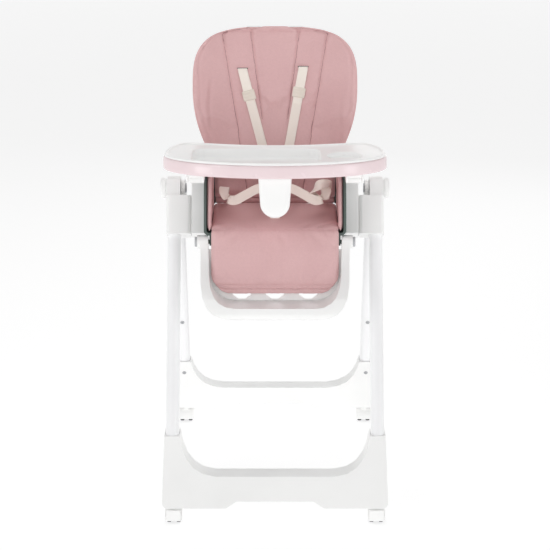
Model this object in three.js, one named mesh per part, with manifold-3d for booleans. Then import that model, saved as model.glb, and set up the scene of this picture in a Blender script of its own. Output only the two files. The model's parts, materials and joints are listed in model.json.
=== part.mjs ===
// Folding baby high chair on eight small twin wheels.
// Millimetres. +X is the right side seen from the front, +Y is the back, +Z is up.
// The origin is on the floor, midway between the four castors.
import * as THREE from 'three';
import { mergeVertices } from 'three/addons/utils/BufferGeometryUtils.js';
import Module from 'manifold-3d';

const wasm = await Module();
wasm.setup();

// ---------------------------------------------------------------- driving dimensions
const PIVOT_Z = 690;          // height of the folding pivot
const LEG_LEAN = 26;          // lean of every leg from the vertical, degrees
const LEG_OFFSET = 25;        // folding pivot to the centre line of a leg
const LEG_WIDTH = 30;         // oval leg tube, across the chair
const LEG_DEPTH = 40;         // oval leg tube, front to back
const LEG_WALL = 1.5;         // tube wall
const LEG_RADIUS = 13.5;      // corner radius of the oval tube
const FRONT_LEG_X = 231;      // centre of a front leg
const REAR_LEG_X = FRONT_LEG_X - 3; // centre of a rear leg

const WHEEL_R = 17;           // twin wheel radius
const BASE_Z = 2 * WHEEL_R + 7; // underside of the two floor bases
const BASE_THICK = 46;        // thickness of a base along the leg's normal
const BASE_TOP_Z = BASE_Z + 65; // top of the cross beam
const LEG_END_Z = BASE_TOP_Z + 1; // height of a tube's lower end, inside its socket
const SOCKET_TOP_Z = BASE_TOP_Z + 81; // top of the leg sockets
const SOCKET_WALL = 2.6;      // socket wall outside the tube
const BASE_FLARE = 4;         // how far a base flares out below its sockets
const ARCH_HALF = 86;         // half width of the arch under the beam
const ARCH_RISE = 14;         // height of that arch
const BASE_CORNER = 12;       // rounding of the lower outer corners

const CASTOR_IN = 4;          // castor stem inside the front leg's centre line
const CASTOR_LINE_Z = BASE_Z + 25.3; // height at which the leg's centre line is over the castor stem
const WHEEL_W = 10;           // width of one tread
const CASTOR_W = 38;          // width over the hood
const CASTOR_TRAIL = 10;      // wheel axle behind the stem
const STEM_R = 5;             // stem radius
const AXLE_R = 3;             // wheel axle radius
const WHEEL_SIDES = 16;       // flats round a wheel, one of them on the floor

const JOINT_IN = 13;          // pivot head, inwards from the front leg's centre line
const JOINT_OUT = 17;         // and outwards
const HEAD_R = 26;            // rounding of the pivot head about the pivot
const CAP_R = 20;             // rounding of the rear leg's pivot plate
const CAP_PLATE = 9;          // thickness of the rear leg's pivot plate
const PIN_R = 6;              // folding pivot pin
const KNOB_R = 23;            // fold release knob
const KNOB_H = 12;            // knob thickness
const KNOB_GAP = 5;           // knob above the pivot head, for its travel

const SLIDER_TOP = 28.5;      // slider housing, distance down the leg from the pivot
const SLIDER_LEN = 90;        // slider housing length along the leg
const SLIDER_WALL = 3;        // slider wall outside the leg
const SLIDER_FRONT = 27.5;    // slider face in front of the leg's centre line
const SLIDER_BACK = 25.5;     // slider face behind the leg's centre line

const ARM_X1 = FRONT_LEG_X - 39.5; // outer face of an armrest, beside the slider
const ARM_WIDTH = 30;         // armrest width
const ARM_X0 = ARM_X1 - ARM_WIDTH;
const ARM_TOP_Z = PIVOT_Z + 70; // armrest top
const ARM_THICK = 24;         // armrest bar height
const ARM_FRONT_Y = -165;     // armrest front end
const ARM_BACK_Y = 62;        // armrest back end

const SEAT_TOP_Z = ARM_TOP_Z - 124; // top of the seat cushion
const SEAT_FRONT_Y = -150;    // front of the seat shell
const SEAT_BACK_Y = 100;      // back of the seat shell
const SHELL_WALL = 6;         // seat shell wall
const SHELL_TOP_Z = ARM_TOP_Z - 16; // top edge of the shell's sides
const SHELL_CORNER = 12;      // outer corner radius under the sides
const SEAT_PAD = 16;          // seat cushion thickness
const SIDE_PAD = 10;          // side cushion thickness
const FIT = 0.6;              // gap between fixed neighbours
const RUN = 0.3;              // running clearance round pins

const HINGE_Y = 92;           // backrest hinge
const HINGE_Z = SEAT_TOP_Z + 6;
const BACK_LEAN = 9;          // backrest lean from the vertical, degrees
const BACK_TALL = 408;        // backrest height along its slope, above the hinge
const BACK_HALF = FRONT_LEG_X - 38; // greatest half width
const BACK_WIDE_AT = 263;     // distance up the slope of the greatest width
const BACK_WAIST = FRONT_LEG_X - 77; // half width where it meets the armrests
const BACK_LOW_HALF = FRONT_LEG_X - 91; // half width between the side cushions
const BACK_PAD = 22;          // backrest cushion thickness
const BACK_SHELL = 5;         // backrest shell thickness
const PAD_GAP = 4;            // between the curved shell and its cushion
const WING = 42;              // how far the side wings come forward

const REST_Y = -140;          // leg rest hinge
const REST_Z = SEAT_TOP_Z - 39;
const REST_KNUCKLE = 15.5;    // radius of the leg rest's knuckles
const REST_HALF = FRONT_LEG_X - 61; // half width over the leg rest frame
const REST_BAR = 18;          // width of its side bars
const REST_LOW_Z = REST_Z - 155; // underside of the foot bar
const REST_BAR_Z = 24;        // height of the foot bar
const BAR_DRAFT = 3;          // how far the side bars close in towards the foot bar
const REST_REACH = 112;       // foot bar's front edge in front of the hinge
const CALF_HALF = REST_HALF - 25; // half width of the calf cushion
const CALF_TOP_Z = REST_Z - 10;
const CALF_LOW_Z = REST_LOW_Z + 42;
const CALF_PAD = 15;          // calf cushion thickness
const CALF_CORNER = 46;       // its lower corners
const PANEL_WALL = 4;         // panel behind the calf cushion
const PANEL_SLOPE = 0.2;      // forward slope of the panel, per mm down
const HOLE_R = 25;            // round openings in the panel
const BUTTON_R = 11.5;        // leg rest buttons

const TRAY_HALF = FRONT_LEG_X + 20; // half width of the tray
const TRAY_MID_Y = -140;      // where the tray is widest
const TRAY_BULGE = 118;       // front edge ahead of that line
const TRAY_BACK_Y = -24;      // back corners of the tray
const TRAY_SCOOP = 28;        // depth of the hollow in the back edge
const TRAY_Z = ARM_TOP_Z + 8; // underside of the tray
const TRAY_TALL = 29;         // height of the pink rim
const TRAY_RIM = 9;           // width of the rim
const TRAY_FLOOR = 3;         // tray floor
const RAIL_WALL = 4;          // walls of the rails that grip the armrests
const RAIL_DROP = 19;         // rails below the tray
const INSERT_SHEET = 3.2;     // sheet of the lift-off tray insert
const WELL_X0 = -184;         // food well
const WELL_X1 = 102;
const WELL_Y0 = -214;
const WELL_Y1 = -82;
const WELL_DEEP = 21;
const CUP_X = 156;            // cup holder
const CUP_Y = -158;
const CUP_R = 38;
const CUP_DEEP = 10;
const POST_HALF = 37;         // crotch post, half width at the top
const POST_LOW_HALF = 33;
const POST_Z = TRAY_Z - 91;   // lower end of the post
const POST_Y = -247;          // front face of the post
const POST_THICK = 20;

const STRAP_W = 22;           // harness webbing
const STRAP_T = 2.4;

// ---------------------------------------------------------------- materials
const plastic = (color, roughness = 0.4) =>
  new THREE.MeshStandardMaterial({ color, roughness, metalness: 0 });
const WHITE = plastic('#f3f3f2');
const TUBE_WHITE = plastic('#f5f5f5', 0.3);
const PINK = plastic('#eed8da', 0.28);
const SHELL_GREY = plastic('#5c5d5f', 0.5);
const PIN_GREY = plastic('#b9babc', 0.45);
const TYRE = plastic('#4a4b4d', 0.8);
const LEATHERETTE = plastic('#cfa4a5', 0.55);
const WEBBING = plastic('#efe4d8', 0.85);
const STEEL = new THREE.MeshStandardMaterial({ color: '#b8b9bb', roughness: 0.35, metalness: 0.9 });

// ---------------------------------------------------------------- solids
// A closed geometry becomes a solid: shared corners are merged and flat slivers dropped.
function solid(geometry) {
  const bare = geometry.clone();
  bare.deleteAttribute('normal');
  bare.deleteAttribute('uv');
  const merged = mergeVertices(bare, 1e-3);
  const corners = [];
  const index = merged.index.array;
  for (let i = 0; i < index.length; i += 3) {
    const [a, b, c] = [index[i], index[i + 1], index[i + 2]];
    if (a !== b && b !== c && c !== a) corners.push(a, b, c);
  }
  return new wasm.Manifold(new wasm.Mesh({
    numProp: 3,
    vertProperties: new Float32Array(merged.attributes.position.array),
    triVerts: new Uint32Array(corners),
  }));
}

function geometryOf(manifold) {
  const mesh = manifold.getMesh();
  const geometry = new THREE.BufferGeometry();
  geometry.setAttribute('position', new THREE.BufferAttribute(mesh.vertProperties, 3));
  geometry.setIndex(new THREE.BufferAttribute(mesh.triVerts, 1));
  return geometry;
}

const join = (first, ...rest) => geometryOf(rest.reduce((sum, g) => sum.add(solid(g)), solid(first)));
const cut = (first, ...rest) => geometryOf(rest.reduce((left, g) => left.subtract(solid(g)), solid(first)));
const common = (a, b) => geometryOf(solid(a).intersect(solid(b)));

// The same solid on the other side of the chair, with its faces still pointing out.
function mirrored(geometry) {
  const copy = geometry.index ? geometry.clone() : mergeVertices(geometry);
  copy.scale(-1, 1, 1);
  const index = copy.index.array;
  for (let i = 0; i < index.length; i += 3) {
    [index[i + 1], index[i + 2]] = [index[i + 2], index[i + 1]];
  }
  return copy;
}

// ---------------------------------------------------------------- outlines and extrusions
const extrude = (shape, depth, curveSegments = 5) =>
  new THREE.ExtrudeGeometry(shape, { depth, bevelEnabled: false, curveSegments });

// An outline in plan (x, y), from height z0 to z1.
const upward = (shape, z0, z1, segments) => extrude(shape, z1 - z0, segments).translate(0, 0, z0);

// An outline seen from the side (y, z), from x0 to x1.
const sideways = (shape, x0, x1, segments) => extrude(shape, x1 - x0, segments)
  .applyMatrix4(new THREE.Matrix4().makeBasis(
    new THREE.Vector3(0, 1, 0), new THREE.Vector3(0, 0, 1), new THREE.Vector3(1, 0, 0)))
  .translate(x0, 0, 0);

// An outline seen from the front (x, z), from y0 back to y1.
const backward = (shape, y0, y1, segments) => extrude(shape, y1 - y0, segments)
  .rotateX(Math.PI / 2)
  .translate(0, y1, 0);

const block = (x0, x1, y0, y1, z0, z1) => new THREE.BoxGeometry(x1 - x0, y1 - y0, z1 - z0)
  .translate((x0 + x1) / 2, (y0 + y1) / 2, (z0 + z1) / 2);

// A rod along X through (y, z).
const rod = (radius, x0, x1, y, z, sides = 12) =>
  new THREE.CylinderGeometry(radius, radius, x1 - x0, sides)
    .rotateZ(-Math.PI / 2)
    .translate((x0 + x1) / 2, y, z);

function roundedRect(x0, x1, y0, y1, radius) {
  const shape = new THREE.Shape();
  shape.moveTo(x0 + radius, y0);
  shape.lineTo(x1 - radius, y0);
  shape.absarc(x1 - radius, y0 + radius, radius, -Math.PI / 2, 0);
  shape.lineTo(x1, y1 - radius);
  shape.absarc(x1 - radius, y1 - radius, radius, 0, Math.PI / 2);
  shape.lineTo(x0 + radius, y1);
  shape.absarc(x0 + radius, y1 - radius, radius, Math.PI / 2, Math.PI);
  shape.lineTo(x0, y0 + radius);
  shape.absarc(x0 + radius, y0 + radius, radius, Math.PI, Math.PI * 1.5);
  return shape;
}

function polygon(points) {
  return new THREE.Shape(points.map(([x, y]) => new THREE.Vector2(x, y)));
}

// A closed solid between two grids of points: front(u, v) and back(u, v), with u and v from 0 to 1.
function between(front, back, across, up) {
  const position = [];
  const index = [];
  const row = across + 1;
  const layer = row * (up + 1);
  for (const surface of [front, back]) {
    for (let j = 0; j <= up; j += 1) {
      for (let i = 0; i <= across; i += 1) position.push(...surface(i / across, j / up));
    }
  }
  const quad = (a, b, c, d) => index.push(a, b, c, a, c, d);
  for (let j = 0; j < up; j += 1) {
    for (let i = 0; i < across; i += 1) {
      const a = j * row + i;
      quad(a, a + 1, a + row + 1, a + row);
      quad(layer + a, layer + a + row, layer + a + row + 1, layer + a + 1);
    }
    const left = j * row;
    const right = left + across;
    quad(layer + left, left, left + row, layer + left + row);
    quad(right, layer + right, layer + right + row, right + row);
  }
  for (let i = 0; i < across; i += 1) {
    const low = i;
    const high = up * row + i;
    quad(low, layer + low, layer + low + 1, low + 1);
    quad(high, high + 1, layer + high + 1, layer + high);
  }
  const geometry = new THREE.BufferGeometry();
  geometry.setAttribute('position', new THREE.Float32BufferAttribute(position, 3));
  geometry.setIndex(index);
  return geometry;
}

// Flat webbing along a line of points. Its width lies along X, or along the direction given for each point.
function webbing(points, steps = 8, directions = points.map(() => [1, 0, 0])) {
  const [width, thick] = [STRAP_W, STRAP_T];
  const curve = new THREE.CatmullRomCurve3(points.map((p) => new THREE.Vector3(...p)));
  const across = new THREE.CatmullRomCurve3(directions.map((d) => new THREE.Vector3(...d)));
  const at = (u, v, lift) => {
    const tangent = curve.getTangent(v);
    const side = across.getPoint(v);
    side.addScaledVector(tangent, -side.dot(tangent)).normalize();
    const normal = new THREE.Vector3().crossVectors(side, tangent);
    return curve.getPoint(v)
      .addScaledVector(side, (u - 0.5) * width)
      .addScaledVector(normal, lift)
      .toArray();
  };
  return between((u, v) => at(u, v, thick / 2), (u, v) => at(u, v, -thick / 2), 1, steps);
}

const smooth = (t) => THREE.MathUtils.smoothstep(t, 0, 1);

// ---------------------------------------------------------------- the leg's own frame
// In this frame x is across the chair, -y runs down the leg from the point beside the pivot,
// and z is the leg's front face. The rear leg's frame is the same one turned half round.
const lean = THREE.MathUtils.degToRad(LEG_LEAN);
const LEG_Y = -LEG_OFFSET * Math.cos(lean);
const LEG_Z = PIVOT_Z + LEG_OFFSET * Math.sin(lean);
const CASTOR_X = FRONT_LEG_X - CASTOR_IN;
const CASTOR_Y = (LEG_Z - CASTOR_LINE_Z) * Math.tan(lean) - LEG_Y;
const JOINT_X0 = FRONT_LEG_X - JOINT_IN;
const JOINT_X1 = FRONT_LEG_X + JOINT_OUT;
const alongAt = (height) => (LEG_Z - height) / Math.cos(lean);
const legPoint = (along, front) => [
  LEG_Y - Math.sin(lean) * along - Math.cos(lean) * front,
  LEG_Z - Math.cos(lean) * along + Math.sin(lean) * front,
];

function legFrame(parent) {
  const frame = new THREE.Group();
  frame.position.set(0, LEG_Y, LEG_Z);
  frame.rotation.x = Math.PI / 2 - lean;
  parent.add(frame);
  return frame;
}

// An outline across the leg (x, front), from one distance down the leg to another.
const downLeg = (shape, from, to, segments = 3) => extrude(shape, to - from, segments)
  .rotateX(Math.PI / 2)
  .translate(0, -from, 0);

const oval = (centre, inset) => roundedRect(
  centre - LEG_WIDTH / 2 + inset, centre + LEG_WIDTH / 2 - inset,
  -LEG_DEPTH / 2 + inset, LEG_DEPTH / 2 - inset, LEG_RADIUS - inset);

// ---------------------------------------------------------------- the chair
const chair = new THREE.Group();
const rear = new THREE.Group();
rear.rotation.z = Math.PI;
chair.add(rear);
const frontLeg = legFrame(chair);
const rearLeg = legFrame(rear);

function part(parent, name, geometry, material) {
  const mesh = new THREE.Mesh(geometry, material);
  mesh.name = name;
  parent.add(mesh);
}

// A right-hand piece and its mirror image. Inside a half-turned group the two change sides.
function pair(parent, name, geometry, material, turned = false) {
  part(parent, `${name}_right`, turned ? mirrored(geometry) : geometry, material);
  part(parent, `${name}_left`, turned ? geometry : mirrored(geometry), material);
}

// ---------------------------------------------------------------- legs
const LEG_TOP = HEAD_R + 1 + RUN;
const CAP_TOP = 30;
const CAP_LEN = 28;
const REAR_TOP = CAP_TOP + CAP_LEN + RUN;
const SPIGOT = 32;

function legTube(centre, top) {
  const shape = oval(centre, 0);
  shape.holes.push(oval(centre, LEG_WALL));
  return downLeg(shape, top, alongAt(LEG_END_Z));
}

// Plastic head on a front leg: it carries the pivot pin and the boss of the fold knob.
function topJoint() {
  const outline = new THREE.Shape();
  outline.moveTo(-LEG_TOP + RUN, LEG_DEPTH / 2);
  outline.lineTo(-4, LEG_DEPTH / 2);
  outline.bezierCurveTo(14, LEG_DEPTH / 2, HEAD_R, 2, HEAD_R, -LEG_OFFSET);
  outline.absarc(0, -LEG_OFFSET, HEAD_R, 0, -Math.PI, true);
  outline.lineTo(-LEG_TOP + RUN, -LEG_DEPTH / 2);
  const head = sideways(outline, JOINT_X0, JOINT_X1);
  const boss = rod(KNOB_R - 2.5, JOINT_X1 - 1, JOINT_X1 + KNOB_GAP + 3, 0, -LEG_OFFSET, 20);
  const spigot = downLeg(oval(FRONT_LEG_X, LEG_WALL + RUN), LEG_TOP - 1, LEG_TOP + SPIGOT);
  const bore = rod(PIN_R + RUN, JOINT_X0 - 1, JOINT_X1 - 8, 0, -LEG_OFFSET);
  return cut(join(head, boss, spigot), bore);
}

// Plastic plug in a rear leg, with the flat plate that turns on the pivot pin.
function rearCap() {
  const inner = JOINT_X0 - 1 - CAP_PLATE;
  const shoulder = Math.asin((LEG_OFFSET - LEG_DEPTH / 2) / CAP_R);
  const outline = new THREE.Shape();
  outline.moveTo(-CAP_TOP - CAP_LEN, LEG_DEPTH / 2);
  outline.lineTo(-CAP_TOP - 6, LEG_DEPTH / 2);
  outline.bezierCurveTo(-CAP_TOP + 8, LEG_DEPTH / 2, CAP_R * 0.6, 4, CAP_R, -LEG_OFFSET);
  outline.absarc(0, -LEG_OFFSET, CAP_R, 0, -Math.PI - shoulder, true);
  outline.lineTo(-CAP_TOP - CAP_LEN, -LEG_DEPTH / 2);
  const plate = sideways(outline, inner, JOINT_X0 - 1);
  const plug = downLeg(oval(REAR_LEG_X, 0), CAP_TOP, CAP_TOP + CAP_LEN);
  const spigot = downLeg(oval(REAR_LEG_X, LEG_WALL + RUN), CAP_TOP + CAP_LEN - 1, REAR_TOP + SPIGOT);
  const bore = rod(PIN_R + RUN, inner - 1, JOINT_X0, 0, -LEG_OFFSET);
  return cut(join(plate, plug, spigot), bore);
}

function foldPin() {
  const inner = JOINT_X0 - 1 - CAP_PLATE;
  const shank = rod(PIN_R, inner - 2, JOINT_X1 - 8.5, 0, -LEG_OFFSET);
  const head = rod(PIN_R + 5, inner - 3.5, inner - RUN, 0, -LEG_OFFSET);
  return join(shank, head);
}

// Cup-shaped knob over the boss: pressing it in frees the fold.
function foldKnob() {
  const face = JOINT_X1 + KNOB_GAP + KNOB_H;
  const profile = [
    [0, face], [KNOB_R - 4, face], [KNOB_R, face - 4],
    [KNOB_R, JOINT_X1 + KNOB_GAP], [KNOB_R - 1.8, JOINT_X1 + KNOB_GAP], [KNOB_R - 1.8, face - 3.5],
    [0, face - 3.5],
  ].map(([radius, x]) => new THREE.Vector2(radius, -x));
  const turned = new THREE.LatheGeometry(profile, 20).rotateZ(Math.PI / 2);
  return geometryOf(solid(turned)).translate(0, 0, -LEG_OFFSET);
}

pair(frontLeg, 'front_leg', legTube(FRONT_LEG_X, LEG_TOP), TUBE_WHITE);
pair(frontLeg, 'top_joint', topJoint(), WHITE);
pair(frontLeg, 'fold_pin', foldPin(), STEEL);
pair(frontLeg, 'fold_knob', foldKnob(), WHITE);
pair(rearLeg, 'rear_leg', legTube(REAR_LEG_X, REAR_TOP), TUBE_WHITE, true);
pair(rearLeg, 'rear_leg_cap', rearCap(), WHITE, true);

// ---------------------------------------------------------------- floor bases
// The front view of a base: sockets that sweep down into a beam, arched in the middle.
function baseOutline(legX) {
  const innerX = legX - LEG_WIDTH / 2 - SOCKET_WALL;
  const outerX = legX + LEG_WIDTH / 2 + SOCKET_WALL;
  const corner = outerX + BASE_FLARE;
  const beamEnd = innerX - 80;
  const shape = new THREE.Shape();
  shape.moveTo(ARCH_HALF, BASE_Z + ARCH_RISE);
  shape.lineTo(ARCH_HALF + 23, BASE_Z);
  shape.lineTo(corner - BASE_CORNER, BASE_Z);
  shape.absarc(corner - BASE_CORNER, BASE_Z + BASE_CORNER, BASE_CORNER, -Math.PI / 2, 0);
  shape.lineTo(outerX, SOCKET_TOP_Z);
  shape.lineTo(innerX, SOCKET_TOP_Z);
  shape.bezierCurveTo(innerX - 8, BASE_TOP_Z + 38, innerX - 26, BASE_TOP_Z + 4, beamEnd, BASE_TOP_Z);
  shape.lineTo(-beamEnd, BASE_TOP_Z);
  shape.bezierCurveTo(-innerX + 26, BASE_TOP_Z + 4, -innerX + 8, BASE_TOP_Z + 38, -innerX, SOCKET_TOP_Z);
  shape.lineTo(-outerX, SOCKET_TOP_Z);
  shape.lineTo(-corner, BASE_Z + BASE_CORNER);
  shape.absarc(-corner + BASE_CORNER, BASE_Z + BASE_CORNER, BASE_CORNER, Math.PI, Math.PI * 1.5);
  shape.lineTo(-ARCH_HALF - 23, BASE_Z);
  shape.lineTo(-ARCH_HALF, BASE_Z + ARCH_RISE);
  return shape;
}

// A base in place under its leg frame's half of the chair: a slab as thick as the base and
// leaning like the legs, cut to the front view, with a socket for each tube and stem.
function floorBase(legX) {
  const half = BASE_THICK / 2;
  const [low, high] = [alongAt(BASE_Z) + BASE_THICK, alongAt(SOCKET_TOP_Z) - BASE_THICK];
  const slab = sideways(polygon([
    legPoint(low, half), legPoint(low, -half), legPoint(high, -half), legPoint(high, half),
  ]), -TRAY_HALF * 1.2, TRAY_HALF * 1.2);
  const frontView = backward(baseOutline(legX), -CASTOR_Y - 120, -CASTOR_Y + 160);
  const sockets = [];
  for (const side of [-1, 1]) {
    const hole = downLeg(oval(side * legX, -RUN), high - 20, alongAt(LEG_END_Z) + 1);
    hole.rotateX(Math.PI / 2 - lean).translate(0, LEG_Y, LEG_Z);
    const stem = new THREE.CylinderGeometry(STEM_R + RUN, STEM_R + RUN, 24, 12)
      .rotateX(Math.PI / 2)
      .translate(side * CASTOR_X, -CASTOR_Y, BASE_Z + 10);
    sockets.push(hole, stem);
  }
  return cut(common(slab, frontView), ...sockets);
}

part(chair, 'front_base', floorBase(FRONT_LEG_X), WHITE);
part(rear, 'rear_base', floorBase(REAR_LEG_X), WHITE);

// ---------------------------------------------------------------- castors
const AXLE_Z = WHEEL_R;
const HOOD_R = WHEEL_R + 3.5;
const HOOD_LOW_Z = 9;
const BRAKE_Z = 33;

function castorHood() {
  const half = CASTOR_W / 2;
  const hood = rod(HOOD_R, -half, half, -CASTOR_TRAIL, AXLE_Z, 18);
  const neck = new THREE.CylinderGeometry(STEM_R + 3, STEM_R + 3, 7, 10)
    .rotateX(Math.PI / 2)
    .translate(0, 0, BASE_Z - 4);
  const stem = new THREE.CylinderGeometry(STEM_R, STEM_R, 24, 10)
    .rotateX(Math.PI / 2)
    .translate(0, 0, BASE_Z + 8);
  const cavity = rod(WHEEL_R + 1, -half + 3, half - 3, -CASTOR_TRAIL, AXLE_Z, 18);
  const mouth = block(-half - 1, half + 1, -80, 80, -5, HOOD_LOW_Z);
  const axle = rod(AXLE_R + RUN, -half - 1, half + 1, -CASTOR_TRAIL, AXLE_Z, 10);
  return cut(join(hood, neck, stem), cavity, mouth, axle);
}

function castorWheels() {
  const tread = WHEEL_R / Math.cos(Math.PI / WHEEL_SIDES);
  const end = CASTOR_W / 2 - 0.5;
  const outer = CASTOR_W / 2 - 3 - 0.6;
  const inner = outer - WHEEL_W;
  const profile = [
    [0, -end], [AXLE_R, -end], [AXLE_R, -outer], [tread, -outer], [tread, -inner],
    [AXLE_R, -inner], [AXLE_R, inner], [tread, inner], [tread, outer],
    [AXLE_R, outer], [AXLE_R, end], [0, end],
  ].map(([radius, x]) => new THREE.Vector2(radius, x));
  const wheels = new THREE.LatheGeometry(profile, WHEEL_SIDES, Math.PI / WHEEL_SIDES).rotateZ(-Math.PI / 2);
  return geometryOf(solid(wheels)).translate(0, -CASTOR_TRAIL, AXLE_Z);
}

// Flat brake tab that hangs over the outer side of the hood from its own small hinge.
function castorBrake() {
  const half = CASTOR_W / 2 - 3;
  const face = -CASTOR_TRAIL - HOOD_R - 1;
  return sideways(polygon([
    [face, BRAKE_Z + 3], [face - 3, BRAKE_Z + 1.5], [face - 3.5, HOOD_LOW_Z + 3],
    [face - 2.5, HOOD_LOW_Z + 1], [face, HOOD_LOW_Z + 1],
  ]), -half, half);
}

for (const [end, home, turned] of [['front', chair, 1], ['rear', rear, -1]]) {
  for (const [side, sign] of [['left', -1], ['right', 1]]) {
    const castor = new THREE.Group();
    castor.position.set(sign * turned * CASTOR_X, -CASTOR_Y, 0);
    home.add(castor);
    part(castor, `castor_hood_${end}_${side}`, castorHood(), WHITE);
    part(castor, `castor_wheels_${end}_${side}`, castorWheels(), TYRE);
    part(castor, `castor_brake_${end}_${side}`, castorBrake(), WHITE);
  }
}

// ---------------------------------------------------------------- seat sliders and armrests
const SLIDER_END = SLIDER_TOP + SLIDER_LEN;
const SLIDER_X0 = ARM_X0 + ARM_WIDTH + FIT;
const SLIDER_X1 = FRONT_LEG_X + LEG_WIDTH / 2 + RUN + SLIDER_WALL;

function sliderHousing() {
  const shape = roundedRect(SLIDER_X0, SLIDER_X1, -SLIDER_BACK, SLIDER_FRONT, 9);
  shape.holes.push(oval(FRONT_LEG_X, -0.4));
  return downLeg(shape, SLIDER_TOP, SLIDER_END);
}

// The armrest: a post beside the slider that spreads into a level bar under the tray.
const TRIGGER_S0 = SLIDER_TOP + 26;
const TRIGGER_S1 = SLIDER_END - 12;

function armrest() {
  const under = ARM_TOP_Z - ARM_THICK;
  const frontAtBar = legPoint(alongAt(under - 14), SLIDER_FRONT);
  const backAtBar = legPoint(alongAt(under - 14), -SLIDER_BACK);
  const outline = new THREE.Shape();
  outline.moveTo(...legPoint(SLIDER_END, SLIDER_FRONT));
  outline.lineTo(...legPoint(SLIDER_END, -SLIDER_BACK));
  outline.lineTo(...backAtBar);
  outline.quadraticCurveTo(backAtBar[0] + 6, under, backAtBar[0] + 24, under);
  outline.lineTo(ARM_BACK_Y - ARM_THICK / 2, under);
  outline.absarc(ARM_BACK_Y - ARM_THICK / 2, under + ARM_THICK / 2, ARM_THICK / 2, -Math.PI / 2, Math.PI / 2);
  outline.lineTo(ARM_FRONT_Y + ARM_THICK / 2, ARM_TOP_Z);
  outline.absarc(ARM_FRONT_Y + ARM_THICK / 2, under + ARM_THICK / 2, ARM_THICK / 2, Math.PI / 2, Math.PI * 1.5);
  outline.lineTo(frontAtBar[0] - 30, under);
  outline.quadraticCurveTo(frontAtBar[0] - 6, under, ...frontAtBar);
  const bar = sideways(outline, ARM_X0, ARM_X0 + ARM_WIDTH);
  const pocket = sideways(polygon([
    legPoint(TRIGGER_S0 - 1, -SLIDER_BACK - 5), legPoint(TRIGGER_S1 + 1, -SLIDER_BACK - 5),
    legPoint(TRIGGER_S1 + 1, -SLIDER_BACK + 12), legPoint(TRIGGER_S0 - 1, -SLIDER_BACK + 12),
  ].reverse()), ARM_X0 + 4, ARM_X0 + ARM_WIDTH - 4);
  return cut(bar, pocket);
}

// Squeeze trigger in the back of the armrest post: it frees the slider on the leg.
function heightTrigger() {
  const outline = polygon([
    legPoint(TRIGGER_S0, -SLIDER_BACK + 5), legPoint(TRIGGER_S0, -SLIDER_BACK - 7),
    legPoint(TRIGGER_S0 + 12, -SLIDER_BACK - 11), legPoint(TRIGGER_S1 - 6, -SLIDER_BACK - 9),
    legPoint(TRIGGER_S1, -SLIDER_BACK - 5), legPoint(TRIGGER_S1, -SLIDER_BACK + 5),
  ]);
  return sideways(outline, ARM_X0 + 5, ARM_X0 + ARM_WIDTH - 5);
}

pair(frontLeg, 'slider_housing', sliderHousing(), WHITE);
pair(chair, 'armrest', armrest(), WHITE);
pair(chair, 'height_trigger', heightTrigger(), PIN_GREY);

// ---------------------------------------------------------------- seat
const SHELL_X = ARM_X0 - FIT;
const PAN_Z = SEAT_TOP_Z - SEAT_PAD - RUN;
const SHELL_LOW_Z = PAN_Z - SHELL_WALL;
const INNER_CORNER = SHELL_CORNER - SHELL_WALL;
const LUG_R = 9;
const LUG_X0 = 138;
const LUG_X1 = REST_HALF - REST_BAR - BAR_DRAFT - FIT;

function seatShell() {
  const inner = SHELL_X - SHELL_WALL;
  const section = new THREE.Shape();
  section.moveTo(-SHELL_X + SHELL_CORNER, SHELL_LOW_Z);
  section.lineTo(SHELL_X - SHELL_CORNER, SHELL_LOW_Z);
  section.absarc(SHELL_X - SHELL_CORNER, SHELL_LOW_Z + SHELL_CORNER, SHELL_CORNER, -Math.PI / 2, 0);
  section.lineTo(SHELL_X, SHELL_TOP_Z);
  section.lineTo(inner, SHELL_TOP_Z);
  section.absarc(inner - INNER_CORNER, PAN_Z + INNER_CORNER, INNER_CORNER, 0, -Math.PI / 2, true);
  section.absarc(-inner + INNER_CORNER, PAN_Z + INNER_CORNER, INNER_CORNER, -Math.PI / 2, -Math.PI, true);
  section.lineTo(-inner, SHELL_TOP_Z);
  section.lineTo(-SHELL_X, SHELL_TOP_Z);
  section.absarc(-SHELL_X + SHELL_CORNER, SHELL_LOW_Z + SHELL_CORNER, SHELL_CORNER, Math.PI, Math.PI * 1.5);
  const side = polygon([
    [SEAT_FRONT_Y, SHELL_LOW_Z - 1], [SEAT_BACK_Y, SHELL_LOW_Z - 1], [SEAT_BACK_Y + 8, HINGE_Z + 6],
    [SEAT_BACK_Y - 12, SHELL_TOP_Z - 40], [SEAT_BACK_Y - 44, SHELL_TOP_Z + 1],
    [SEAT_FRONT_Y + 48, SHELL_TOP_Z + 1], [SEAT_FRONT_Y + 26, SHELL_TOP_Z - 40],
    [SEAT_FRONT_Y, SEAT_TOP_Z - 4],
  ]);
  const bucket = common(
    backward(section, SEAT_FRONT_Y - 5, SEAT_BACK_Y + 20), sideways(side, -SHELL_X - 5, SHELL_X + 5));
  const lugSide = new THREE.Shape();
  lugSide.moveTo(SEAT_FRONT_Y + 46, SHELL_LOW_Z + 2);
  lugSide.lineTo(SEAT_FRONT_Y + 1, SHELL_LOW_Z + 2);
  lugSide.lineTo(REST_Y - LUG_R, REST_Z);
  lugSide.absarc(REST_Y, REST_Z, LUG_R, Math.PI, Math.PI * 1.75);
  const lug = sideways(lugSide, LUG_X0, LUG_X1);
  const stub = rod(5, LUG_X1 - 1, REST_HALF - 4, REST_Y, REST_Z);
  const pinHole = rod(5 + RUN, inner - 2, SHELL_X + 2, HINGE_Y, HINGE_Z);
  const holes = [pinHole, mirrored(pinHole)];
  return cut(join(bucket, lug, mirrored(lug), stub, mirrored(stub)), ...holes);
}

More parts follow.
